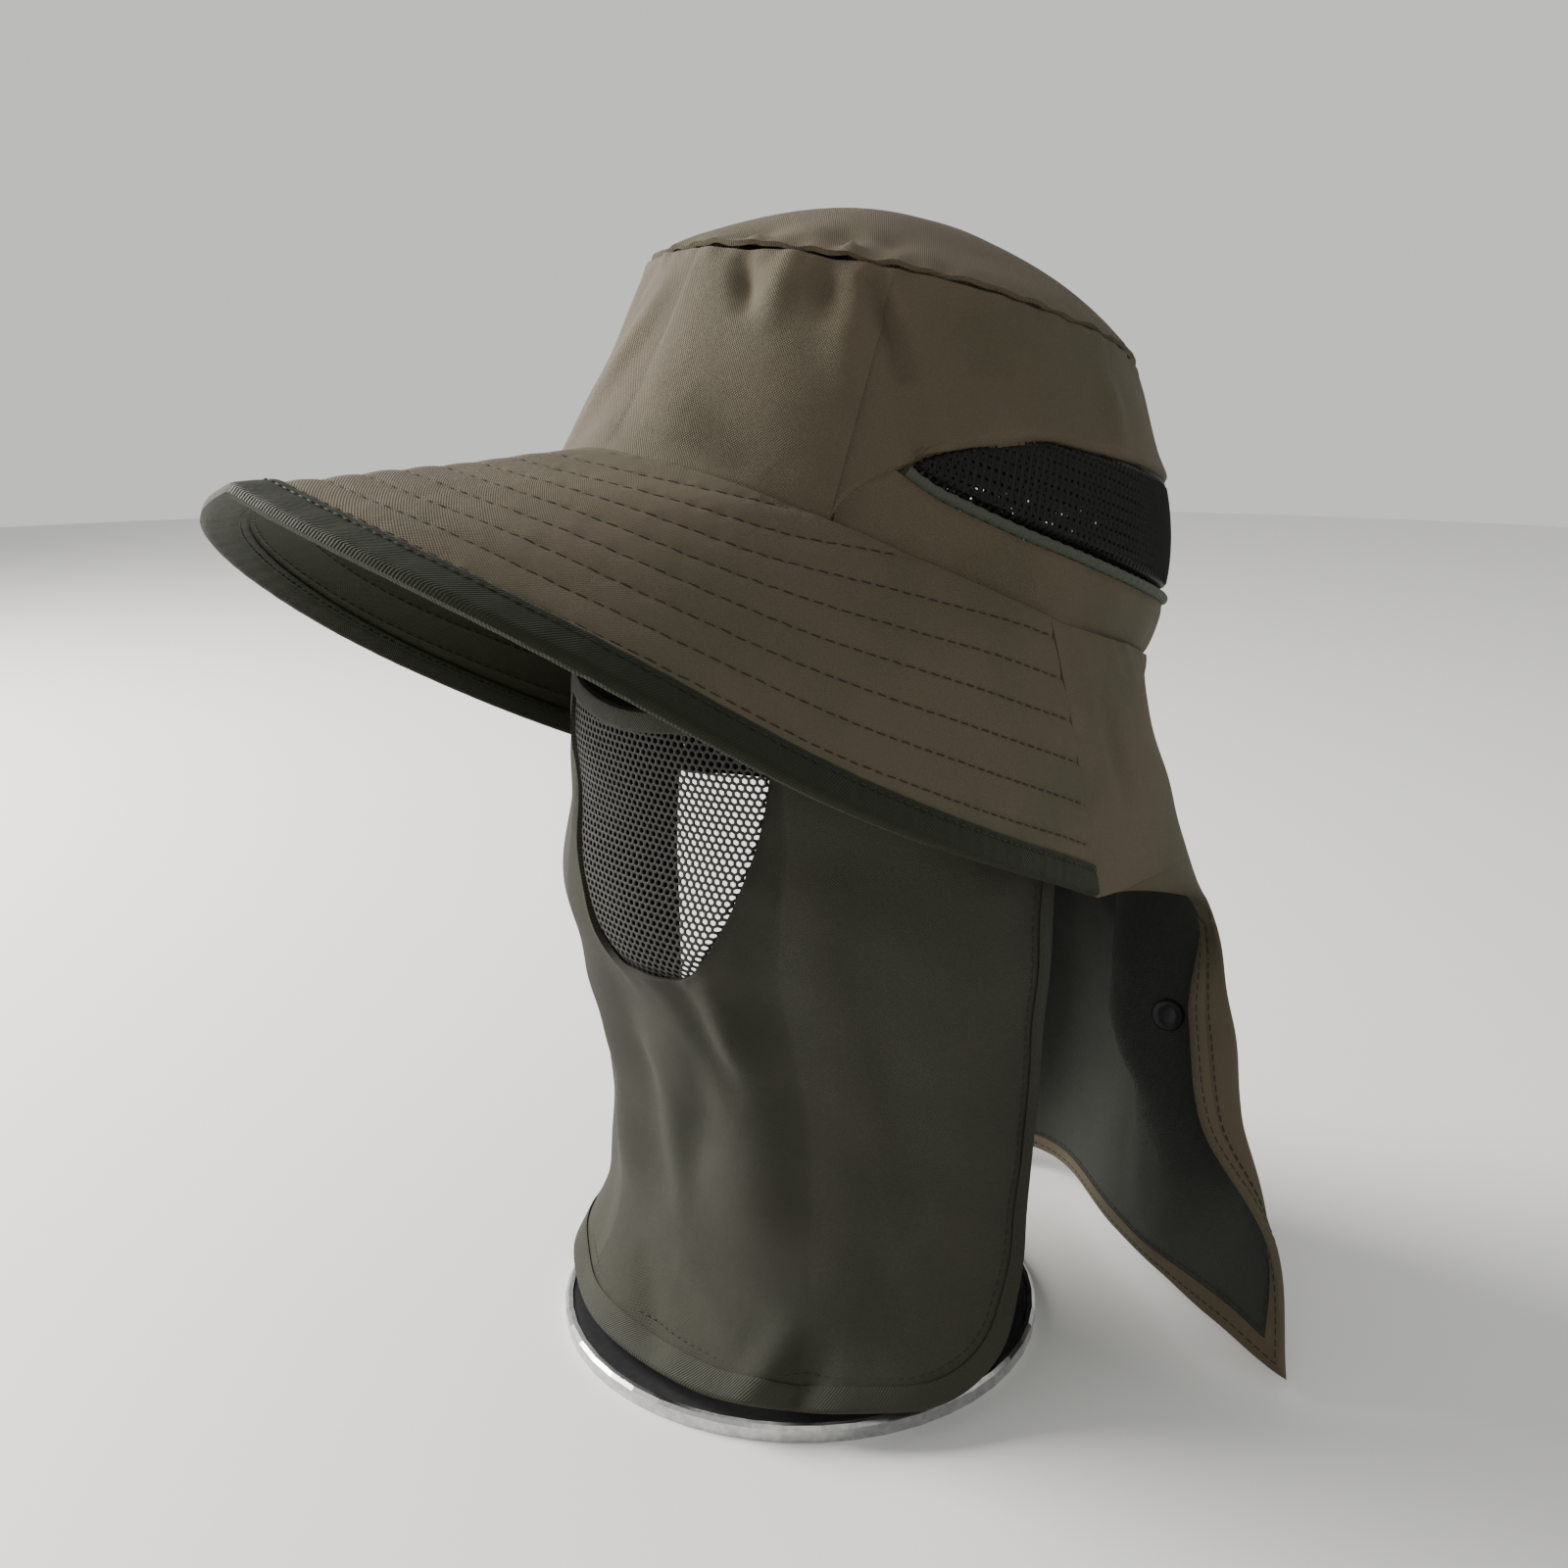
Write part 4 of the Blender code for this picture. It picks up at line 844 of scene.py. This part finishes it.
def brimRelief(angle, share):
    # stitch rows pull narrow grooves, and the cloth swells and puckers a little between them
    inward = (1 - share) * (brimWidth(angle) - brimShape["start"])
    place = (inward - brimPiece["rowStart"]) / brimPiece["rowStep"]
    nearest = np.clip(np.round(place), 0, brimPiece["rowCount"] - 1)
    away = (place - nearest) * brimPiece["rowStep"]
    groove = -brimPiece["groove"] * np.exp(-(away / brimPiece["grooveWidth"])**2)
    between = brimPiece["quilt"] * np.cos(2 * math.pi * np.clip(place, -0.5, 20) + math.pi)
    u = angle * 0.13
    pucker = ripple(u + 0.01 * nearest, 0 * u, 41, (0.0071, 0.0093, 0.0127), 0.00022) * np.exp(-(away / 0.0028)**2)
    soft = ripple(u, inward, 43, (0.034, 0.052, 0.075), 0.0005) * softStep(share / 0.08)
    return (groove + between * 0.5 + pucker + soft) * softStep((bindingShare - 0.002 - share) / 0.02)


angle, share = brimGrid(np.linspace(-1, 1, brimPiece["columns"]),
                        np.linspace(0, bindingShare + 0.7 * (1 - bindingShare), brimPiece["rows"]))
grid = brimSurface(angle, share)
up = normalsOf(grid)
facing = 1.0 if up[brimPiece["columns"] // 2, 50, 2] > 0 else -1.0
relief = brimRelief(angle, share)
grid = grid + up * facing * relief[..., None] * 0.6
thick = brimPiece["cloth"] + 0.5 * relief
order = int(facing)
brimCloth = wallPiece("brim_cloth", grid[::order], thick[::order], "taupe", inner="underside", replace=("brim",),
                      slotName="taupe")
print("brim made")

angle, share = brimGrid(np.linspace(-1, 1, 420), np.linspace(bindingShare, 1, 16))
wave = ripple(angle * 0.17, 0 * share, 47, (0.0062, 0.0085, 0.019), 0.00012)
seamDip = -0.00025 * np.exp(-((share - bindingShare) * brimNarrow / 0.0010 - 1.6)**2)
brimTape = foldedTape("brim_binding_tape", brimSurface(angle, share), brimPiece["cloth"], 0.0008, "binding",
                      rise=wave + seamDip, replace=("brim_binding",), slotName="dark_green")
tapeStitch = []
along = np.linspace(-0.995, 0.995, 700)
for inset, skin in ((0.0016, 1), (0.0016, -1)):
    s = np.full_like(along, bindingShare + inset / brimNarrow)
    a = along * (endTop + (endEdge - endTop) * s)
    strip = brimSurface(np.stack([a, a], axis=1), np.stack([s, s + 0.01], axis=1))
    n = normalsOf(strip)[:, 0] * facing
    tapeStitch.append((strip[:, 0] + skin * n * (0.5 * brimPiece["cloth"] + 0.00068), skin * n))
bindingStitch = stitchRows("brim_binding_stitches", tapeStitch, "greyThread", pitch=0.0030, length=0.0022)

rows = []
along = np.linspace(-0.99, 0.99, 900)
for index in range(brimPiece["rowCount"]):
    inward = brimPiece["rowStart"] + index * brimPiece["rowStep"]
    s = 1 - inward / (brimWidth(along * endEdge) - brimShape["start"])
    for _ in range(3):
        a = along * (endTop + (endEdge - endTop) * s)
        s = 1 - inward / (brimWidth(a) - brimShape["start"])
    keep = s > 0.02
    if not keep.any():
        continue
    a, s = a[keep], s[keep]
    strip = brimSurface(np.stack([a, a], axis=1), np.stack([s, s + 0.01], axis=1))
    n = normalsOf(strip)[:, 0] * facing
    depth = 0.6 * brimRelief(a, s)
    for skin in (1, -1):
        surface = strip[:, 0] + n * (depth + skin * (0.5 * brimPiece["cloth"] + 0.25 * brimRelief(a, s)))[:, None]
        breaks = np.flatnonzero(np.linalg.norm(np.diff(surface, axis=0), axis=1) > 0.004)
        for part in np.split(np.arange(len(surface)), breaks + 1):
            if len(part) > 8:
                rows.append((surface[part], skin * n[part]))
stitchRows("brim_stitches", rows, "thread", pitch=0.0040, length=0.0030, radius=0.00024, sink=0.2)
print("brim stitched")


# neck flap
flapPiece = dict(
    columns=300, rows=118, cloth=0.0014, hem=0.0055, freeFrom=0.425,
    # creases: mm round from the middle of the back, mm down from the seam, to the same, width, height
    creases=(
        (60, 10, 74, 60, 8.0, 0.6), (135, 18, 135, 46, 3.0, -1.1), (30, 20, 44, 120, 11.0, 0.8),
        (30, 103, 74, 128, 7.0, -1.6), (74, 128, 90, 168, 6.0, -1.8), (30, 140, 74, 154, 6.0, 1.8),
        (74, 154, 76, 194, 7.0, 1.9), (104, 90, 112, 150, 6.0, 0.6), (100, 150, 112, 196, 6.0, -0.9),
        (-60, 20, -84, 90, 8.0, 1.3), (-96, 60, -104, 150, 7.0, -1.2), (-30, 40, -20, 170, 10.0, -1.2),
        (6, 30, 0, 190, 9.0, 1.1), (50, 130, 58, 200, 7.0, 1.2), (-70, 120, -60, 200, 8.0, 1.1),
    ),
)
flapFall = headRing["height"] - flapShape["hem"]


def flapRelief(along, down):
    u, v = along * 0.150, down * 0.215
    relief = creaseRelief(u, v, flapPiece["creases"])
    gather = np.exp(-(down / 0.06)**2) * ripple(u, 0 * v, 53, (0.0090, 0.0137, 0.0210), 0.0003)
    soft = ripple(u, v, 59, (0.028, 0.041, 0.067), 0.0006) * softStep(down / 0.1)
    return (relief + soft) * softStep(down / 0.06) * (1 - 0.75 * softStep((np.abs(along) - 0.9) / 0.1)) + gather


hemShare, sideShare = flapPiece["hem"] / flapFall, 1.8 * flapPiece["hem"] / flapShape["halfWidth"]
down = np.linspace(0, 1 - 0.3 * hemShare, flapPiece["rows"])
# the cloth ends inside the folded hem: along the free side edges, and below
limit = 1.0 - (0.3 * sideShare) * softStep((down - flapPiece["freeFrom"]) / 0.030)
columns = np.linspace(-1, 1, flapPiece["columns"])
along, fall = columns[:, None] * limit, down + 0 * columns[:, None]
grid = flapSurface(along, fall)
outward = normalsOf(grid)
flapFacing = 1.0 if outward[flapPiece["columns"] // 2, 40, 1] > 0 else -1.0
grid = grid + outward * flapFacing * flapRelief(along, fall)[..., None]
neckFlap = wallPiece("neck_flap_cloth", grid[::int(flapFacing)], flapPiece["cloth"], "taupe",
                     inner="lining", replace=("neck_flap",), slotName="shade_olive")
print("neck flap made")

side = np.linspace(0.45, 1, 90)[:-1]
across = np.linspace(1, -1, 300)[1:-1]
outerA = np.concatenate([np.ones_like(side), [1.0], across, [-1.0], -np.ones_like(side)])
outerD = np.concatenate([side, [1.0], 0 * across + 1, [1.0], side[::-1]])
innerA, innerD = outerA * (1 - sideShare), np.minimum(outerD, 1 - hemShare)
step = np.linspace(1, 0, 12)
a = innerA[:, None] + (outerA - innerA)[:, None] * (1 - step)
d = innerD[:, None] + (outerD - innerD)[:, None] * (1 - step)
grid = flapSurface(a, d)
out = normalsOf(grid)
tapeFacing = 1.0 if out[len(grid) // 2, 5, 1] > 0 else -1.0
grid = grid + out * tapeFacing * flapRelief(a, d)[..., None]
flapTape = foldedTape("flap_hem", grid, flapPiece["cloth"], 0.0006, "taupe", replace=("flap_binding",),
                      slotName="shade_olive")
hemRows = []
for inset in (0.0022, flapPiece["hem"] + 0.0012):
    aLine = outerA * (1 - inset / flapPiece["hem"] * sideShare)
    dLine = np.minimum(outerD, 1 - inset / flapFall)
    strip = np.stack([flapSurface(aLine, dLine), flapSurface(aLine * 0.99, dLine - 0.004)], axis=1)
    line = flapSurface(aLine, dLine)
    tangent = unit(np.gradient(line, axis=0))
    n = unit(np.cross(tangent, strip[:, 1] - strip[:, 0]))
    n = n * np.sign((n * (line - np.array([0, 0.03, 0]))).sum(-1, keepdims=True))
    line = line + n * flapRelief(aLine, dLine)[:, None]
    for skin in (1, -1):
        proud = 0.00065 if inset < flapPiece["hem"] else 0.0002
        hemRows.append((line + skin * n * (0.5 * flapPiece["cloth"] + proud), skin * n))
hemStitch = stitchRows("flap_hem_stitches", hemRows, "greyThread", pitch=0.0032, length=0.0024, radius=0.0002)
# press stud on the inside of the cape
studPlace = np.array([[0.60, 0.60], [0.62, 0.59]]), np.array([[0.59, 0.61], [0.59, 0.59]])
corner = flapSurface(*studPlace)
n = unit(np.cross(corner[0, 1] - corner[0, 0], corner[1, 0] - corner[0, 0]))
n = n * np.sign((n * (np.array([0, 0.03, 0.1]) - corner[0, 0])).sum())
across = unit(corner[0, 1] - corner[0, 0])
beside = np.cross(n, across)
turn = np.linspace(0, 2 * math.pi, 40, endpoint=False)
profile = ((0.0052, 0.0002), (0.0052, 0.0012), (0.0046, 0.0018), (0.0034, 0.0016), (0.0028, 0.0021), (0.0010, 0.0022))
middle = corner[0, 0] + n * 0.5 * flapPiece["cloth"] * 0.6
rings = np.array([middle + n * rise + wide * (np.cos(turn)[:, None] * across + np.sin(turn)[:, None] * beside)
                  for wide, rise in profile])
i, j = unwrapGrid(np.arange(len(profile) - 1), np.arange(40))
k = (j + 1) % 40
faces = np.stack([i * 40 + j, i * 40 + k, (i + 1) * 40 + k, (i + 1) * 40 + j], axis=-1).reshape(-1, 4)
caps = [list(range(40))[::-1], [len(profile) * 40 - 40 + c for c in range(40)]]
putPiece("flap_snap", rings, faces, None, ["plate"], caps=caps)
print("flap hem made")


# face cover
coverPiece = dict(
    columns=260, rows=126, cloth=0.0012,
    creases=(
        (30, 128, 37, 106, 5.0, 2.6), (20, 126, 30, 96, 5.0, -2.0), (44, 150, 50, 60, 9.0, -2.2),
        (8, 32, 30, 24, 5.0, 1.8), (-10, 26, 8, 14, 5.0, -1.8), (40, 6, 44, 24, 6.0, 2.8), (49, 4, 56, 20, 5.0, -2.2),
        (62, 160, 70, 90, 8.0, 2.0), (76, 120, 84, 60, 6.0, -1.6), (10, 60, 20, 104, 7.0, -1.6),
        (-3, 96, 4, 50, 6.0, 1.5),
        (-30, 50, -38, 110, 8.0, 1.2), (-60, 60, -70, 150, 8.0, -1.2), (96, 60, 104, 130, 7.0, 0.9),
        (60, 40, 80, 30, 7.0, 0.9),
    ),
)
spread = math.radians(coverShape["spread"])
coverInset = coverShape["hem"] / (0.93 * coverShape["halfWidth"])


def coverRelief(angle, height):
    u, v = angle * 0.080, height
    relief = creaseRelief(u, v, coverPiece["creases"])
    soft = ripple(u, v, 61, (0.026, 0.037, 0.058), 0.0009)
    hemWave = np.exp(-((height - coverFoot(angle)) / 0.012)**2) * ripple(u, 0 * v, 67, (0.017, 0.026), 0.0009)
    topHold = softStep((coverTop(angle) - height) / 0.02)
    rimHold = 1 - 0.7 * softStep((np.abs(angle) / spread - 0.9) / 0.1)
    # puckers round the window's curved seam
    gap = np.abs(height - windowEdge(angle))
    pull = np.exp(-(gap / 0.006)**2) * ripple(u + 0.5 * v, 0 * v, 71, (0.009, 0.013), 0.0004)
    return (relief + soft) * topHold * rimHold + hemWave + pull * topHold


share = np.linspace(-1, 1, coverPiece["columns"])
foot = coverFoot(share * spread)
turns = share * (spread - 0.3 * coverInset)
belowHem = coverTop(turns) - 0.3 * coverShape["hem"]
top = np.minimum(belowHem, windowEdge(turns))
step = np.linspace(0, 1, coverPiece["rows"])
height = (foot + 0.3 * coverShape["hem"])[:, None] * (1 - step) + top[:, None] * step
angle = turns[:, None] + 0 * height
grid = coverSurface(angle, height)
out = normalsOf(grid)
coverFacing = 1.0 if out[coverPiece["columns"] // 2, 20, 1] < 0 else -1.0
grid = grid + out * coverFacing * coverRelief(angle, height)[..., None]
edgeRoll = np.exp(-((top[:, None] - height) / 0.0022)**2) * (top < belowHem)[:, None]
thick = coverPiece["cloth"] + 0.0008 * edgeRoll
faceCover = wallPiece("face_cover_cloth", grid[::int(coverFacing)], thick[::int(coverFacing)], "shade",
                      inner="lining", replace=("face_cover",), slotName="shade_olive")
print("face cover made")

# net over the mouth, tucked behind the window's edge
mouthNet = dict(pitch=0.0023, hole=0.66, thick=0.00040, radius=0.080, tuck=0.0016, under=0.0022)


def mouthSurface(u, v):
    angle = u / mouthNet["radius"]
    points = coverSurface(angle, v)
    out = np.stack([np.sin(angle), -np.cos(angle), 0 * angle], axis=-1)
    gap = windowEdge(angle) - v
    tuck = mouthNet["tuck"] * softStep((gap + 0.005) / 0.005)
    hold = softStep((coverTop(angle) - v) / 0.02)
    return points + out * (coverRelief(angle, v) * hold * 0.5 - tuck)[..., None]


def insideWindow(u, v):
    angle = u / mouthNet["radius"]
    return (v > windowEdge(angle) - mouthNet["under"]) & (v < coverTop(angle) - 0.4 * coverShape["hem"]) & (
        np.abs(angle - math.radians(mouthWindow["turn"])) < 0.62)


mouthMesh = netPiece("mouth_net", mouthSurface, (-0.045, 0.060), (0.122, 0.230), insideWindow, mouthNet["pitch"],
                     mouthNet["hole"], mouthNet["thick"], "mouthNet", replace=("face_mesh",), slotName="black_net")
print("mouth net made")

# top hem and binding
turns = np.linspace(-spread, spread, 260)
step = np.linspace(0, 1, 10)
height = (coverTop(turns) - coverShape["hem"])[:, None] * (1 - step) + coverTop(turns)[:, None] * step
angle = turns[:, None] + 0 * height
grid = coverSurface(angle, height)
out = normalsOf(grid) * coverFacing
grid = grid + out * coverRelief(angle, height)[..., None]
wave = ripple(angle * 0.08, 0 * height, 73, (0.008, 0.013), 0.0001)
topHem = foldedTape("face_top_hem_tape", grid, coverPiece["cloth"], 0.0005, "edging", rise=wave,
                    replace=("face_top_hem",), slotName="grey_green")

inner = spread - coverInset
head = float(coverTop(np.array(inner))) - coverShape["hem"] - 0.0006
footEdge = coverFoot(np.array(spread))
drop = np.linspace(head, footEdge, 60)[:-1]
share = np.linspace(-1, 1, 260)
foot = coverFoot(share * spread)
outerA = np.concatenate([-np.ones(59), share, np.ones(59)]) * spread
outerH = np.concatenate([drop, foot, drop[::-1]])
rise = coverShape["hem"] * np.concatenate([np.linspace(0, 1, 60)[:-1], np.ones(260), np.linspace(1, 0, 60)[1:]])
innerA, innerH = outerA * (inner / spread), outerH + np.minimum(rise, head - outerH)
step = np.linspace(1, 0, 12)
a = outerA[:, None] + (innerA - outerA)[:, None] * step
h = outerH[:, None] + (innerH - outerH)[:, None] * step
grid = coverSurface(a, h)
out = normalsOf(grid)
bindFacing = 1.0 if out[len(grid) // 2, 5, 1] < 0 else -1.0
grid = grid + out * bindFacing * coverRelief(a, h)[..., None]
coverTape = foldedTape("face_edge_tape", grid, coverPiece["cloth"], 0.0006, "edging", replace=("face_binding",),
                       slotName="shade_olive")
edgeRows = []
for inset in (0.0044, 0.0082):
    k = inset / coverShape["hem"]
    aLine = outerA + (innerA - outerA) * k
    hLine = outerH + (innerH - outerH) * k
    line = coverSurface(aLine, hLine)
    n = unit(np.stack([np.sin(aLine), -np.cos(aLine), 0 * aLine], axis=-1))
    line = line + n * coverRelief(aLine, hLine)[:, None]
    proud = 0.0011 if inset < coverShape["hem"] else 0.0006
    edgeRows.append((line + n * proud, n))
edgeStitch = stitchRows("face_edge_stitches", edgeRows, "greyThread", pitch=0.0030, length=0.0022, radius=0.0002)
print("face cover edged")


# stand: the solids keep their shape and get their finishes
for node, key in (("stand_base", "plate"), ("stand_post", "plate"), ("stand_rim", "chrome")):
    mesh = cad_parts[node].data
    mesh.materials.clear()
    mesh.materials.append(finishes[key])
print("stand finished")


# floor and light
studio = dict(floor=2.6, floorTone=(0.70, 0.70, 0.68), sky=(0.87, 0.87, 0.84), skyLight=0.88)

world = bpy.data.worlds.new("studio")
bpy.context.scene.world = world
world.use_nodes = True
world.node_tree.nodes["Background"].inputs[0].default_value = (*studio["sky"], 1)
world.node_tree.nodes["Background"].inputs[1].default_value = studio["skyLight"]

turn = np.linspace(0, 2 * math.pi, 96, endpoint=False)
radii = np.array([0.3, 0.8, 1.6, studio["floor"]])
circle = np.stack([np.cos(turn), np.sin(turn), 0 * turn], axis=-1)
verts = np.concatenate([[[0, 0, 0]], (radii[:, None, None] * circle).reshape(-1, 3)])
i = np.arange(96)
k = (i + 1) % 96
faces = [[0, 1 + a, 1 + b] for a, b in zip(i, k)]
faces += [[1 + r * 96 + a, 1 + (r + 1) * 96 + a, 1 + (r + 1) * 96 + b, 1 + r * 96 + b]
          for r in range(3) for a, b in zip(i, k)]
floorMesh = bpy.data.meshes.new("paleFloor")
floorMesh.from_pydata(verts.tolist(), [], faces)
floor = bpy.data.objects.new("paleFloor", floorMesh)
bpy.context.collection.objects.link(floor)
material, tree, shader = newMaterial("paleFloor")
place = addNode(tree, "ShaderNodeTexCoord", None, None, 3)
duller = tuple(0.97 * c for c in studio["floorTone"])
tree.links.new(mixColour(tree, noise(tree, place, 3.0), studio["floorTone"], duller).socket,
               shader.inputs["Base Color"])
shader.inputs["Roughness"].default_value = 0.6
floorMesh.materials.append(material)


def areaLight(name, place, aim, size, power, tone):
    data = bpy.data.lights.new(name, "AREA")
    data.shape, data.size, data.energy, data.color = "DISK", size, power, tone
    lamp = bpy.data.objects.new(name, data)
    lamp.location = place
    direction = np.array(aim) - np.array(place)
    lamp.rotation_euler = (math.atan2(math.hypot(direction[0], direction[1]), -direction[2]), 0,
                           math.atan2(direction[1], direction[0]) - math.pi / 2)
    bpy.context.collection.objects.link(lamp)


# the key stands to the left of the camera and high up; a weak fill comes from the camera's right
areaLight("keyLight", (-1.25, -0.62, 0.95), (0, 0, 0.2), 1.0, 84, (1.0, 0.98, 0.93))
areaLight("fillLight", (0.9, -1.1, 0.9), (0, 0, 0.2), 1.2, 3, (0.97, 0.98, 1.0))

print("scene ready")
